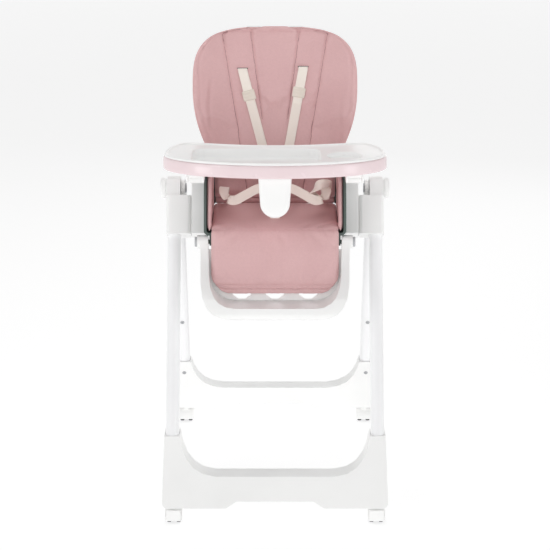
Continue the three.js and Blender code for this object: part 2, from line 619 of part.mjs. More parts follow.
// The seat cushion, with a lip that turns down over the front of the pan.
const SEAT_PAD_HALF = SHELL_X - SHELL_WALL - SIDE_PAD - FIT;
const LIP_Y = SEAT_FRONT_Y - 9;
const PAD_BACK_Y = HINGE_Y - 14;

function seatPad() {
  const profile = new THREE.Shape();
  profile.moveTo(LIP_Y, SEAT_TOP_Z - 14);
  profile.lineTo(SEAT_FRONT_Y - FIT, SEAT_TOP_Z - 14);
  profile.lineTo(SEAT_FRONT_Y - FIT, SEAT_TOP_Z - SEAT_PAD + 4);
  profile.lineTo(SEAT_FRONT_Y + 2, SEAT_TOP_Z - SEAT_PAD);
  profile.lineTo(PAD_BACK_Y, SEAT_TOP_Z - SEAT_PAD);
  profile.lineTo(PAD_BACK_Y, SEAT_TOP_Z);
  profile.lineTo(LIP_Y + 9, SEAT_TOP_Z);
  profile.absarc(LIP_Y + 9, SEAT_TOP_Z - 9, 9, Math.PI / 2, Math.PI);
  return sideways(profile, -SEAT_PAD_HALF, SEAT_PAD_HALF);
}

function sidePad() {
  const x0 = SEAT_PAD_HALF + FIT / 2;
  const outline = new THREE.Shape();
  outline.moveTo(SEAT_FRONT_Y + 4, PAN_Z + INNER_CORNER);
  outline.lineTo(HINGE_Y - 22, PAN_Z + INNER_CORNER);
  outline.lineTo(HINGE_Y - 34, SHELL_TOP_Z - 8);
  outline.quadraticCurveTo(HINGE_Y - 36, SHELL_TOP_Z + 3, HINGE_Y - 50, SHELL_TOP_Z + 3);
  outline.lineTo(SEAT_FRONT_Y + 66, SHELL_TOP_Z + 3);
  outline.quadraticCurveTo(SEAT_FRONT_Y + 48, SHELL_TOP_Z + 2, SEAT_FRONT_Y + 40, SHELL_TOP_Z - 16);
  outline.lineTo(SEAT_FRONT_Y + 4, SEAT_TOP_Z + 6);
  return sideways(outline, x0, x0 + SIDE_PAD - FIT);
}

function reclinePin() {
  const shank = rod(5, BACK_LOW_HALF + 0.5, SHELL_X + 2, HINGE_Y, HINGE_Z);
  const head = rod(9, SHELL_X + RUN, SHELL_X + 4, HINGE_Y, HINGE_Z);
  return join(shank, head);
}

part(chair, 'seat_shell', seatShell(), SHELL_GREY);
part(chair, 'seat_pad', seatPad(), LEATHERETTE);
pair(chair, 'side_pad', sidePad(), LEATHERETTE);
pair(chair, 'recline_pin', reclinePin(), STEEL);

// ---------------------------------------------------------------- harness on the seat
const BUCKLE_Y = -52;
const BUCKLE_Z = SEAT_TOP_Z + 70;
const BUCKLE_HALF = 24;
const BUCKLE_TALL = 40;
const BUCKLE_T = 13;
const BUCKLE_BUTTON_R = 11;

function buckle() {
  const outline = roundedRect(-BUCKLE_HALF, BUCKLE_HALF, BUCKLE_Z - BUCKLE_TALL / 2, BUCKLE_Z + BUCKLE_TALL / 2, 10);
  const body = backward(outline, BUCKLE_Y - BUCKLE_T, BUCKLE_Y);
  const pocket = new THREE.CylinderGeometry(BUCKLE_BUTTON_R + 0.4, BUCKLE_BUTTON_R + 0.4, 12, 14)
    .translate(0, BUCKLE_Y - BUCKLE_T, BUCKLE_Z);
  return cut(body, pocket);
}

function buckleButton() {
  return new THREE.CylinderGeometry(BUCKLE_BUTTON_R, BUCKLE_BUTTON_R, 4, 14)
    .translate(0, BUCKLE_Y - BUCKLE_T, BUCKLE_Z);
}

const crotchStrap = webbing([
  [0, BUCKLE_Y - 30, SEAT_TOP_Z + 2.5], [0, BUCKLE_Y - 22, SEAT_TOP_Z + 12],
  [0, BUCKLE_Y - 12, BUCKLE_Z - BUCKLE_TALL / 2 - 16], [0, BUCKLE_Y - BUCKLE_T / 2, BUCKLE_Z - BUCKLE_TALL / 2 - 2],
]);

// The slack lap strap leaves the back corner of the seat, comes forward over the cushion and folds
// back to the buckle: each point above the seat, with the direction of its width.
const lapRoute = [
  [[BUCKLE_HALF + 10, BUCKLE_Y - 6, 67], [0.35, 0, 0.94]],
  [[66, BUCKLE_Y - 16, 54], [0.5, -0.1, 0.85]],
  [[90, BUCKLE_Y - 24, 43], [0.6, 0, 0.8]],
  [[106, BUCKLE_Y - 28, 46], [0.75, 0.1, 0.6]],
  [[117, BUCKLE_Y - 20, 57], [0.92, 0, 0.35]],
  [[117, BUCKLE_Y + 2, 64], [0.98, 0, 0.1]],
  [[117, BUCKLE_Y + 40, 52], [1, 0.1, 0]],
  [[119, BUCKLE_Y + 76, 36], [1, 0, 0.1]],
  [[121, BUCKLE_Y + 108, 26], [1, 0, 0]],
];
const lapStrap = webbing(
  lapRoute.map(([[x, y, up]]) => [x, y, SEAT_TOP_Z + up]), 18, lapRoute.map(([, direction]) => direction));

part(chair, 'buckle', buckle(), WHITE);
part(chair, 'buckle_button', buckleButton(), PIN_GREY);
part(chair, 'crotch_strap', crotchStrap, WEBBING);
pair(chair, 'lap_strap', lapStrap, WEBBING);

// ---------------------------------------------------------------- backrest
// In the backrest's frame x is across, y runs up its slope from the hinge, z points to the child.
const backrest = new THREE.Group();
backrest.position.set(0, HINGE_Y, HINGE_Z);
backrest.rotation.x = Math.PI / 2 - THREE.MathUtils.degToRad(BACK_LEAN);
chair.add(backrest);

const BACK_CLEAR = 112;        // up the slope, where the backrest has cleared the seat's sides
const ROUND = 3.3;             // squareness of the rounded top
const EAR_R = 11;              // hinge ears beside the cushion
const EAR_TALL = 70;
const EAR_X0 = BACK_LOW_HALF + 1;
const EAR_X1 = SHELL_X - SHELL_WALL - 1;
const HANDLE_HALF = 40;        // recline handle
const HANDLE_UP = 290;         // its lower edge, up the slope
const HANDLE_TALL = 28;

function backHalf(up) {
  if (up > BACK_WIDE_AT) {
    const t = Math.min((up - BACK_WIDE_AT) / (BACK_TALL - BACK_WIDE_AT), 1);
    return BACK_HALF * Math.max((1 - t ** ROUND) ** (1 / ROUND), 0.35);
  }
  const t = (BACK_WIDE_AT - up) / (BACK_WIDE_AT - BACK_CLEAR);
  const open = BACK_HALF - (BACK_HALF - BACK_WAIST) * t * t;
  return up > BACK_CLEAR ? open : BACK_LOW_HALF + (BACK_WAIST - BACK_LOW_HALF) * smooth((up - 86) / 26);
}

// How far the surface comes forward towards the sides.
const wing = (x, up) => WING * smooth((Math.abs(x) - 88) / (BACK_HALF - 88)) * smooth((up - 80) / 120);

function backLayer(inset, from, low) {
  const top = BACK_TALL - inset;
  return (u, v) => {
    const up = low + (top - low) * Math.sin(v * Math.PI / 2);
    const half = backHalf(Math.min(up + inset, BACK_TALL)) - inset;
    const x = (u - 0.5) * 2 * half;
    return [x, up, wing(x, up) + from];
  };
}

function backShell() {
  const low = -8;
  const panel = between(backLayer(3, 0, low), backLayer(3, -BACK_SHELL, low), 14, 10);
  const earSide = new THREE.Shape();
  earSide.moveTo(EAR_TALL, -BACK_SHELL + 1);
  earSide.lineTo(EAR_TALL, -BACK_SHELL - 4);
  earSide.lineTo(EAR_R, -EAR_R);
  earSide.absarc(0, 0, EAR_R, -Math.PI / 4, -Math.PI * 1.5, true);
  earSide.lineTo(EAR_R + 8, -BACK_SHELL + 1);
  const ear = sideways(earSide, EAR_X0, EAR_X1);
  const tie = block(EAR_X0 - 16, EAR_X1, EAR_R + 8, EAR_TALL, -BACK_SHELL - 4, -BACK_SHELL + 1);
  const bore = rod(5 + RUN, EAR_X0 - 2, EAR_X1 + 2, 0, 0);
  const housing = block(-56, 56, 276, 346, -14, -BACK_SHELL + 1);
  const pocket = block(-HANDLE_HALF - 1, HANDLE_HALF + 1, HANDLE_UP - 1, HANDLE_UP + HANDLE_TALL + 13, -20, -9);
  return cut(
    join(panel, ear, mirrored(ear), tie, mirrored(tie), housing), bore, mirrored(bore), pocket);
}

function backPad() {
  const low = 9;
  return between(backLayer(0, BACK_PAD, low), backLayer(0, PAD_GAP, low), 14, 10);
}

// Finger bar at the back: pulled up the slope, it frees the recline.
function reclineHandle() {
  const outline = new THREE.Shape();
  outline.moveTo(HANDLE_UP, -9.5);
  outline.lineTo(HANDLE_UP, -26);
  outline.quadraticCurveTo(HANDLE_UP + 2, -32, HANDLE_UP + 10, -32);
  outline.lineTo(HANDLE_UP + 14, -26);
  outline.lineTo(HANDLE_UP + HANDLE_TALL, -18);
  outline.lineTo(HANDLE_UP + HANDLE_TALL, -9.5);
  return sideways(outline, -HANDLE_HALF, HANDLE_HALF);
}

// The shoulder webbing lies on the cushion from its slot down towards the buckle.
const STRAP_LIFT = BACK_PAD + 2.5;
const shoulderPath = [
  [80, 304, STRAP_LIFT], [61, 246, STRAP_LIFT + 3], [42, 190, STRAP_LIFT + 3],
  [25, 140, STRAP_LIFT + 4], [16, 104, STRAP_LIFT + 10],
];

function strapAdjuster() {
  const [x, up, out] = shoulderPath[1];
  const [upperX, upperUp] = shoulderPath[0];
  const slant = Math.atan2(x - upperX, upperUp - up);
  const frame = roundedRect(-14, 14, -11, 11, 3);
  return upward(frame, 0, 4, 2).rotateZ(slant).translate(x, up, out + STRAP_T / 2 + 0.6);
}

part(backrest, 'backrest_shell', backShell(), SHELL_GREY);
part(backrest, 'backrest_pad', backPad(), LEATHERETTE);
part(backrest, 'recline_handle', reclineHandle(), PIN_GREY);
pair(backrest, 'shoulder_strap', webbing(shoulderPath), WEBBING);
pair(backrest, 'strap_adjuster', strapAdjuster(), WEBBING);

// ---------------------------------------------------------------- leg rest
const REST_X0 = REST_HALF - REST_BAR;
const PANEL_Y = REST_Y - 12;
const restLine = (z) => PANEL_Y - (CALF_TOP_Z - z) * PANEL_SLOPE;

// Half of the U seen from the front, from the top of a bar round to the middle of the foot bar.
function restEdge(half, low, corner) {
  const shape = new THREE.Shape();
  shape.moveTo(-half, REST_Z + 40);
  shape.lineTo(-half + BAR_DRAFT, low + corner);
  shape.bezierCurveTo(-half + 6, low + corner * 0.4, -half + corner * 0.4, low, -half + corner, low);
  shape.lineTo(half - corner, low);
  shape.bezierCurveTo(half - corner * 0.4, low, half - 6, low + corner * 0.4, half - BAR_DRAFT, low + corner);
  shape.lineTo(half, REST_Z + 40);
  return shape;
}

function footrestFrame() {
  const front = REST_Y - REST_REACH;
  const back = restLine(REST_LOW_Z) - PANEL_WALL + 12;
  const side = new THREE.Shape();
  side.moveTo(REST_Y + REST_KNUCKLE, REST_Z);
  side.absarc(REST_Y, REST_Z, REST_KNUCKLE, 0, Math.PI);
  side.bezierCurveTo(REST_Y - REST_KNUCKLE - 12, REST_Z - 60, front + 6, REST_LOW_Z + 70, front, REST_LOW_Z + REST_BAR_Z - 6);
  side.quadraticCurveTo(front, REST_LOW_Z, front + 12, REST_LOW_Z);
  side.lineTo(back, REST_LOW_Z);
  const outer = backward(restEdge(REST_HALF, REST_LOW_Z, 76), front - 5, REST_Y + 30);
  const gap = backward(restEdge(REST_X0, REST_LOW_Z + REST_BAR_Z + 4, 62), front - 10, REST_Y + 40);
  const bars = common(cut(outer, gap), sideways(side, -REST_HALF - 5, REST_HALF + 5));
  const knuckle = rod(REST_KNUCKLE, REST_X0, REST_HALF + 6, REST_Y, REST_Z, 20);
  const bore = rod(5 + RUN, LUG_X1, REST_HALF - 3.5, REST_Y, REST_Z);
  const pocket = rod(BUTTON_R + 0.5, REST_HALF, REST_HALF + 8, REST_Y, REST_Z, 16);
  return cut(join(bars, knuckle, mirrored(knuckle)), bore, mirrored(bore), pocket, mirrored(pocket));
}

const restSlab = (y0, y1, z0, z1, half) => sideways(polygon([
  [restLine(z0) + y0, z0], [restLine(z0) + y1, z0], [restLine(z1) + y1, z1], [restLine(z1) + y0, z1],
]), -half, half);

function footrestPanel() {
  const outline = restEdge(REST_X0 - FIT, REST_LOW_Z + REST_BAR_Z + 4 + FIT, 62);
  for (const x of [-75, 0, 75]) {
    const hole = new THREE.Path();
    hole.absarc(x, REST_LOW_Z + REST_BAR_Z + 6 + HOLE_R, HOLE_R, 0, Math.PI * 2, true);
    outline.holes.push(hole);
  }
  return common(
    backward(outline, REST_Y - REST_REACH, REST_Y + 20),
    restSlab(-PANEL_WALL, 0, REST_LOW_Z, CALF_TOP_Z - 4, REST_HALF));
}

function calfPad() {
  const outline = roundedRect(-CALF_HALF, CALF_HALF, CALF_LOW_Z, CALF_TOP_Z + 80, CALF_CORNER);
  return common(
    backward(outline, REST_Y - REST_REACH, REST_Y + 20),
    restSlab(-PANEL_WALL - FIT - CALF_PAD, -PANEL_WALL - FIT, CALF_LOW_Z - 5, CALF_TOP_Z, CALF_HALF + 5));
}

const restButton = rod(BUTTON_R, REST_HALF + 4.5, REST_HALF + 12, REST_Y, REST_Z, 16);

part(chair, 'footrest_frame', footrestFrame(), WHITE);
part(chair, 'footrest_panel', footrestPanel(), WHITE);
part(chair, 'calf_pad', calfPad(), LEATHERETTE);
pair(chair, 'leg_rest_button', restButton, PIN_GREY);

// ---------------------------------------------------------------- tray
function trayOutline(inset) {
  const half = TRAY_HALF - inset;
  const back = TRAY_BACK_Y - inset;
  const corner = half - 46;
  const shape = new THREE.Shape();
  shape.absellipse(0, TRAY_MID_Y, half, TRAY_BULGE - inset, Math.PI, Math.PI * 2);
  shape.bezierCurveTo(half, TRAY_MID_Y + 44, half - 14, back - 34, half - 22, back - 18);
  shape.quadraticCurveTo(half - 30, back, corner, back);
  shape.bezierCurveTo(corner * 0.7, back, corner * 0.55, back - TRAY_SCOOP, 0, back - TRAY_SCOOP);
  shape.bezierCurveTo(-corner * 0.55, back - TRAY_SCOOP, -corner * 0.7, back, -corner, back);
  shape.quadraticCurveTo(-half + 30, back, -half + 22, back - 18);
  shape.bezierCurveTo(-half + 14, back - 34, -half, TRAY_MID_Y + 44, -half, TRAY_MID_Y);
  return shape;
}

const RAIL_X0 = ARM_X0 - FIT - RAIL_WALL;
const RAIL_X1 = ARM_X0 + ARM_WIDTH + FIT + RAIL_WALL;
const RAIL_Y0 = -212;
const RAIL_Y1 = -62;
const RELEASE_Y0 = -124;
const RELEASE_Y1 = -88;
const RELEASE_X = RAIL_X1 + 5;
const RELEASE_STEM_R = 3;
const RELEASE_Z = TRAY_Z - 9;

function trayBase() {
  const body = upward(trayOutline(0), TRAY_Z, TRAY_Z + TRAY_TALL, 6);
  const hollow = upward(trayOutline(TRAY_RIM), TRAY_Z + TRAY_FLOOR, TRAY_Z + TRAY_TALL + 5, 6);
  const rail = block(RAIL_X0, RAIL_X1, RAIL_Y0, RAIL_Y1, TRAY_Z - RAIL_DROP, TRAY_Z + 1);
  const channel = block(
    ARM_X0 - FIT, ARM_X0 + ARM_WIDTH + FIT, RAIL_Y0 - 5, RAIL_Y1 + 5, TRAY_Z - RAIL_DROP - 5, ARM_TOP_Z + FIT);
  const stemHole = rod(
    RELEASE_STEM_R + RUN, ARM_X0 + ARM_WIDTH, RAIL_X1 + 2, (RELEASE_Y0 + RELEASE_Y1) / 2, RELEASE_Z, 12);
  return cut(
    join(body, rail, mirrored(rail)), hollow, channel, mirrored(channel), stemHole, mirrored(stemHole));
}

function trayRelease() {
  const outline = roundedRect(RELEASE_X, RELEASE_X + 22, RELEASE_Y0, RELEASE_Y1, 7);
  const tab = upward(outline, TRAY_Z - 15, TRAY_Z - FIT, 4);
  const stem = rod(
    RELEASE_STEM_R, RAIL_X1 + 0.4, RELEASE_X + 2, (RELEASE_Y0 + RELEASE_Y1) / 2, RELEASE_Z, 12);
  return join(tab, stem);
}

// Post under the tray that keeps the child from sliding out.
function crotchPost() {
  const shape = new THREE.Shape();
  shape.moveTo(-POST_HALF, TRAY_Z - RUN);
  shape.lineTo(-POST_LOW_HALF, POST_Z + POST_LOW_HALF);
  shape.absarc(0, POST_Z + POST_LOW_HALF, POST_LOW_HALF, Math.PI, Math.PI * 2);
  shape.lineTo(POST_HALF, TRAY_Z - RUN);
  return backward(shape, POST_Y, POST_Y + POST_THICK, 8);
}

// Lift-off insert: a sheet over the tray's rim with a food well and a cup holder.
function trayInsert() {
  const top = TRAY_Z + TRAY_TALL + RUN + INSERT_SHEET;
  const wall = 2.6;
  const well = (inset, z0, z1) => upward(
    roundedRect(WELL_X0 + inset, WELL_X1 - inset, WELL_Y0 + inset, WELL_Y1 - inset, 26 - inset), z0, z1, 4);
  const cup = (radius, z0, z1) => new THREE.CylinderGeometry(radius, radius, z1 - z0, 20)
    .rotateX(Math.PI / 2)
    .translate(CUP_X, CUP_Y, (z0 + z1) / 2);
  const sheet = upward(trayOutline(4), top - INSERT_SHEET, top, 6);
  return cut(
    join(sheet, well(0, top - WELL_DEEP - wall, top - 1), cup(CUP_R + wall, top - CUP_DEEP - wall, top - 1)),
    well(wall, top - WELL_DEEP, top + 5), cup(CUP_R, top - CUP_DEEP, top + 5));
}

part(chair, 'tray_base', trayBase(), PINK);
part(chair, 'crotch_post', crotchPost(), WHITE);
part(chair, 'tray_insert', trayInsert(), WHITE);
pair(chair, 'tray_release', trayRelease(), PIN_GREY);

export default chair;
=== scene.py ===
"""Looks of the folding baby high chair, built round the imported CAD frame.

Blender's units are metres, the shapes below are in millimetres. +X right, +Y back, +Z up.
"""
import json
import math

import bmesh
import bpy
import numpy as np
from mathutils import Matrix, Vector
from mathutils.geometry import delaunay_2d_cdt, interpolate_bezier


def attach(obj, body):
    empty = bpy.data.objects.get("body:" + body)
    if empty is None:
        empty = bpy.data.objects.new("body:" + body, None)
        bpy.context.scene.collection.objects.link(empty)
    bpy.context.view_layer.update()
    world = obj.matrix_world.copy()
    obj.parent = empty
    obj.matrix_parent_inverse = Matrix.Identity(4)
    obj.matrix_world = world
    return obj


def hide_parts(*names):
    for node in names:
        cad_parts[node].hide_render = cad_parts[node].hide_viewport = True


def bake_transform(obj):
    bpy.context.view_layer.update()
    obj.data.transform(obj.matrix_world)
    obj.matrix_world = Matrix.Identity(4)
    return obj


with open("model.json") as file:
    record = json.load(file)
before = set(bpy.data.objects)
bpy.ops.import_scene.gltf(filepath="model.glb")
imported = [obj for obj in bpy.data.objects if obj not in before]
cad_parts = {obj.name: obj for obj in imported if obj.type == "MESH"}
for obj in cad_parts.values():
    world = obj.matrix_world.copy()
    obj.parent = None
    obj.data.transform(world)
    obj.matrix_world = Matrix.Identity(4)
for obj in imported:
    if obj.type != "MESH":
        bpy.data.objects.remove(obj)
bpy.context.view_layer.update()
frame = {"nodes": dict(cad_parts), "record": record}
scene = bpy.context.scene
MM = 0.001

# ------ camera, lights, world
CAMERA_AT, CAMERA_DOWN, LENS, SENSOR, FAR_END = (0, -4.640, 1.755), 15.36, 134.2, 36, 50
camera_data = bpy.data.cameras.new("camera")
camera_data.lens, camera_data.sensor_width, camera_data.clip_end = LENS, SENSOR, FAR_END
camera = bpy.data.objects.new("camera", camera_data)
camera.location = CAMERA_AT
camera.rotation_euler = (math.radians(90 - CAMERA_DOWN), 0, 0)
scene.collection.objects.link(camera)
scene.camera = camera

CENTRE, HIGH_CENTRE = (0, 0, 0.55), (0, 0, 0.7)
# Name, place, what it faces, width, height, watts.
LIGHTS = (
    ("key", (-1.9, -2.3, 2.5), CENTRE, 1.6, 1.6, 13.5),
    ("fill", (2.3, -2.0, 1.9), CENTRE, 1.4, 1.4, 7),
    ("top", (0, 0.3, 3.2), CENTRE, 2.4, 2.4, 34),
    ("back", (0.6, 2.8, 1.8), CENTRE, 2.0, 2.0, 8),
    ("strip_left", (-2.05, -2.15, 0.52), HIGH_CENTRE, 0.62, 0.95, 5.5),
    ("strip_right", (2.15, -2.05, 0.52), HIGH_CENTRE, 0.62, 0.95, 4.5))
for name, place, target, wide, tall, watts in LIGHTS:
    data = bpy.data.lights.new(name, "AREA")
    data.shape = "RECTANGLE"
    data.size, data.size_y, data.energy = wide, tall, watts
    light = bpy.data.objects.new(name, data)
    light.location = place
    light.rotation_euler = (Vector(target) - Vector(place)).to_track_quat("-Z", "Y").to_euler()
    scene.collection.objects.link(light)

WORLD_GLOW = 0.05
world = bpy.data.worlds.new("studio")
scene.world = world
world.use_nodes = True
background = world.node_tree.nodes["Background"]
background.inputs["Color"].default_value = (1, 1, 1, 1)
background.inputs["Strength"].default_value = WORLD_GLOW
scene.view_settings.view_transform = "Standard"
scene.view_settings.look = "None"


# ------ materials
def srgb(*levels):
    return tuple(((c / 255 + 0.055) / 1.055) ** 2.4 for c in levels) + (1,)


def darker(colour, share):
    return tuple(c * share for c in colour[:3]) + (1,)


class Nodes:
    """A small builder round one material's node tree."""

    def __init__(self, name, rough, **inputs):
        self.mat = bpy.data.materials.new(name)
        self.mat.use_nodes = True
        self.tree = self.mat.node_tree
        self.shader = self.tree.nodes["Principled BSDF"]
        self.coords = self.tree.nodes.new("ShaderNodeTexCoord")
        self.set(Roughness=rough, Coat_Roughness=0.15, **inputs)

    def set(self, **inputs):
        """Feeds the shader's inputs; an underscore stands for a space."""
        for label, value in inputs.items():
            self.feed(self.shader.inputs[label.replace("_", " ")], value)

    def node(self, kind, inputs=None, **settings):
        made = self.tree.nodes.new(kind)
        for key, value in settings.items():
            setattr(made, key, value)
        for key, value in (inputs or {}).items():
            self.feed(made.inputs[key], value)
        return made

    def feed(self, socket, value):
        if isinstance(value, bpy.types.NodeSocket):
            self.tree.links.new(value, socket)
        else:
            socket.default_value = value

    def place(self, stretch=(1, 1, 1), uv=False):
        source = self.coords.outputs["UV" if uv else "Object"]
        return self.node("ShaderNodeMapping", {"Vector": source, "Scale": stretch}).outputs[0]

    def noise(self, scale, detail=2.0, rough=0.5, place=None):
        where = place or self.coords.outputs["Object"]
        return self.node("ShaderNodeTexNoise", {
            "Vector": where, "Scale": scale, "Detail": detail, "Roughness": rough}).outputs[0]

    def between(self, value, low, high, from_low=0.0, from_high=1.0):
        return self.node("ShaderNodeMapRange", {
            0: value, 1: from_low, 2: from_high, 3: low, 4: high}).outputs[0]

    def math(self, how, a, b=0.0):
        return self.node("ShaderNodeMath", {0: a, 1: b}, operation=how).outputs[0]

    def blend(self, share, a, b):
        made = self.node("ShaderNodeMix", data_type="RGBA")
        colours = [i for i in made.inputs if i.type == "RGBA"]
        self.feed(made.inputs[0], share)
        self.feed(colours[0], a)
        self.feed(colours[1], b)
        return next(o for o in made.outputs if o.type == "RGBA")

    def bumps(self, *heights):
        """Bumps one over another: (height, distance in metres)."""
        normal = None
        for height, distance in heights:
            given = {"Height": height, "Distance": distance, "Strength": 1.0}
            if normal is not None:
                given["Normal"] = normal
            normal = self.node("ShaderNodeBump", given).outputs[0]
        self.set(Normal=normal)

    def colour(self, share, a, b):
        self.set(Base_Color=self.blend(share, a, b))

    def roughness(self, value, low, high):
        """Roughness from low to high over the middle of a noise."""
        self.set(Roughness=self.between(value, low, high, *MIDDLE))


MIDDLE, WIDE_MIDDLE = (0.3, 0.7), (0.35, 0.65)
PEBBLES, PORES = 640.0, 1500.0
RIBS, YARNS = 260.0, 190.0


def moulded(name, colour, shade, rough, grain=0.000006, grain_scale=1400, coat=0.0):
    """Injection-moulded plastic: fine spark grain, faint flow marks and handling haze."""
    m = Nodes(name, rough, Coat_Weight=coat)
    m.colour(m.between(m.noise(7, 3), 0, 1, *WIDE_MIDDLE), shade, colour)
    m.roughness(m.noise(26, 4, 0.6), rough - 0.05, rough + 0.09)
    m.bumps((m.noise(grain_scale, 1), grain), (m.noise(30, 1), 0.00005))
    return m.mat


def painted(name, colour, shade):
    """Powder-coated steel tube: orange peel under a soft gloss."""
    m = Nodes(name, 0.36, Coat_Weight=0.1)
    m.colour(m.between(m.noise(4, 2), 0, 1, *WIDE_MIDDLE), shade, colour)
    m.roughness(m.noise(9, 2), 0.34, 0.42)
    m.bumps((m.noise(300, 1), 0.000003))
    return m.mat


def leatherette(name, lit, deep):
    """Soft PVC leather: pebble grain with painted shade in its creases, fine pores and shallow pulls."""
    m = Nodes(name, 0.46, Sheen_Weight=0.12, Sheen_Roughness=0.4)
    where = m.place(uv=True)
    cells = m.node("ShaderNodeTexVoronoi", {"Vector": where, "Scale": PEBBLES},
                   feature="DISTANCE_TO_EDGE").outputs[0]
    small = m.node("ShaderNodeTexVoronoi", {"Vector": where, "Scale": PORES}).outputs[0]
    drift = m.between(m.noise(9, 3, place=where), 0, 1, *MIDDLE)
    mottle = m.between(m.noise(180, 2, place=where), 0.0, 1.0, *MIDDLE)
    tone = m.math("ADD", m.math("MULTIPLY", drift, 0.6), m.math("MULTIPLY", mottle, 0.4))
    # Painted shade: the pebble grain's creases are painted darker than the rest of the cover.
    painted_crease_shade = m.between(cells, 0.25, 0.0, 0.0, 0.10)
    m.colour(painted_crease_shade, m.blend(tone, deep, lit), darker(deep, 0.72))
    m.set(Roughness=m.between(mottle, 0.40, 0.56))
    pulls = m.noise(34, 2, 0.45, m.place((1, 0.45, 1), uv=True))
    m.bumps((pulls, 0.0012), (m.between(cells, 0, 1, 0.0, 0.28), 0.00016), (small, 0.00004))
    return m.mat


def webbing(name, lit, deep):
    """Woven tape: ribs across the tape, yarns along it, fuzz on top, and painted shade between the ribs.
    """
    m = Nodes(name, 0.82, Sheen_Weight=0.35)
    across, along = (m.node("ShaderNodeTexWave", {
        "Vector": m.place(uv=True), "Scale": scale, "Distortion": wobble, "Detail": 1.0},
        bands_direction=way).outputs["Fac"]
        for scale, wobble, way in ((RIBS, 0.4, "Y"), (YARNS, 0.6, "X")))
    weave = m.math("MULTIPLY", across, m.between(along, 0.45, 1.0))
    fuzz = m.noise(900, 3)
    # Painted shade: the dips between the weave's ribs take the darker colour; the fuzz adds random tone.
    m.colour(m.math("ADD", m.math("MULTIPLY", weave, 0.65), m.math("MULTIPLY", fuzz, 0.35)), deep, lit)
    m.bumps((weave, 0.0003), (fuzz, 0.0001))
    return m.mat


def brushed(name, colour):
    m = Nodes(name, 0.34, Metallic=1.0)
    lines = m.noise(900, 2, place=m.place((0.05, 1, 1)))
    m.colour(lines, darker(colour, 0.8), colour)
    m.roughness(lines, 0.26, 0.46)
    m.bumps((lines, 0.00002))
    return m.mat


def tread(name, lit, deep):
    m = Nodes(name, 0.75)
    m.colour(m.noise(160, 4), deep, lit)
    m.set(Roughness=m.between(m.noise(300, 2), 0.65, 0.85))
    m.bumps((m.noise(1100, 2), 0.00008))
    return m.mat


MATERIALS = {name: kind(name, *how) for name, kind, *how in (
    ("white_plastic", moulded, srgb(251, 251, 250), srgb(247, 247, 246), 0.36),
    ("white_tube", painted, srgb(252, 252, 253), srgb(248, 248, 249)),
    ("pink_plastic", moulded, srgb(240, 221, 224), srgb(234, 213, 216), 0.2, 0.000003, 1400, 0.6),
    ("shell_plastic", moulded, srgb(84, 96, 91), srgb(76, 88, 84), 0.52, 0.00002, 1100),
    ("grey_plastic", moulded, srgb(196, 197, 200), srgb(186, 187, 190), 0.44, 0.00001),
    ("tyre", tread, srgb(80, 81, 84), srgb(54, 55, 58)),
    ("leatherette", leatherette, srgb(228, 187, 187), srgb(219, 176, 177)),
    ("webbing", webbing, srgb(255, 250, 242), srgb(252, 241, 230)),
    ("steel", brushed, srgb(196, 197, 200)),
    ("thread", moulded, srgb(228, 190, 191), srgb(214, 172, 173), 0.7, 0.0001, 2400),
    # Darker pink for the cords sunk in the backrest's seam grooves: painted shade in the grooves.
    ("seam", moulded, srgb(182, 140, 141), srgb(168, 126, 128), 0.7),
    # Dark brown-grey for the inner walls of the strap slots: painted shade inside the slots.
    ("hollow", moulded, srgb(70, 62, 62), srgb(60, 54, 54), 0.8),
    ("slider", moulded, srgb(242, 234, 224), srgb(230, 220, 208), 0.42))}


# ------ mesh helpers
SIDES = (("left", -1), ("right", 1))
RIGHT = Vector((1, 0, 0))


def modify(made, name, kind, **settings):
    modifier = made.modifiers.new(name, kind)
    for key, value in settings.items():
        setattr(modifier, key, value)
    return modifier


def edit(mesh, change):
    """Runs change on an editable copy of a mesh and writes the result back."""
    work = bmesh.new()
    work.from_mesh(mesh)
    change(work)
    work.to_mesh(mesh)
    work.free()


def face_outwards(work):
    bmesh.ops.recalc_face_normals(work, faces=work.faces)


def new_object(name, points, faces):
    """An object in the scene from points in millimetres."""
    mesh = bpy.data.meshes.new(name)
    mesh.from_pydata([tuple(c * MM for c in p) for p in points], [], faces)
    made = bpy.data.objects.new(name, mesh)
    scene.collection.objects.link(made)
    return made


def piece(name, points, faces, body, slot, material=None, replaces=(), uvs=None, sharp=40.0):
    """A visible piece that rides on a body. Creases over `sharp` degrees stay crisp."""
    made = new_object(name, points, faces)
    mesh = made.data
    if uvs is not None:
        layer = mesh.uv_layers.new(name="UVMap")
        for loop in mesh.loops:
            layer.data[loop.index].uv = uvs[loop.vertex_index]
    edit(mesh, face_outwards)
    soften(mesh, sharp)
    mesh.materials.append(MATERIALS[material or slot])
    if body:
        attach(made, body)
    if replaces:
        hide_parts(*replaces)
    return made


def soften(mesh, sharp):
    """Smooth shading, broken where two faces meet at more than `sharp` degrees."""
    limit = math.radians(sharp)

    def shade(work):
        for face in work.faces:
            face.smooth = True
        for edge in work.edges:
            edge.smooth = len(edge.link_faces) != 2 or edge.calc_face_angle(0.0) < limit

    edit(mesh, shade)


def flat_uvs(points):
    """Texture places of points seen from the front."""
    return [(p[0] * MM, p[2] * MM) for p in points]


def rings(loops, ends="faces"):
    """Faces between closed loops of one length. The two ends get faces, stay open or are joined."""
    count, total = len(loops[0]), len(loops)
    points = [p for loop in loops for p in loop]
    faces = []
    for k in range(total if ends == "joined" else total - 1):
        a, b = k * count, (k + 1) % total * count
        for i in range(count):
            j = (i + 1) % count
            faces.append((a + i, a + j, b + j, b + i))
    if ends == "faces":
        faces.append(tuple(range(count))[::-1])
        faces.append(tuple(range((total - 1) * count, total * count)))
    return points, faces


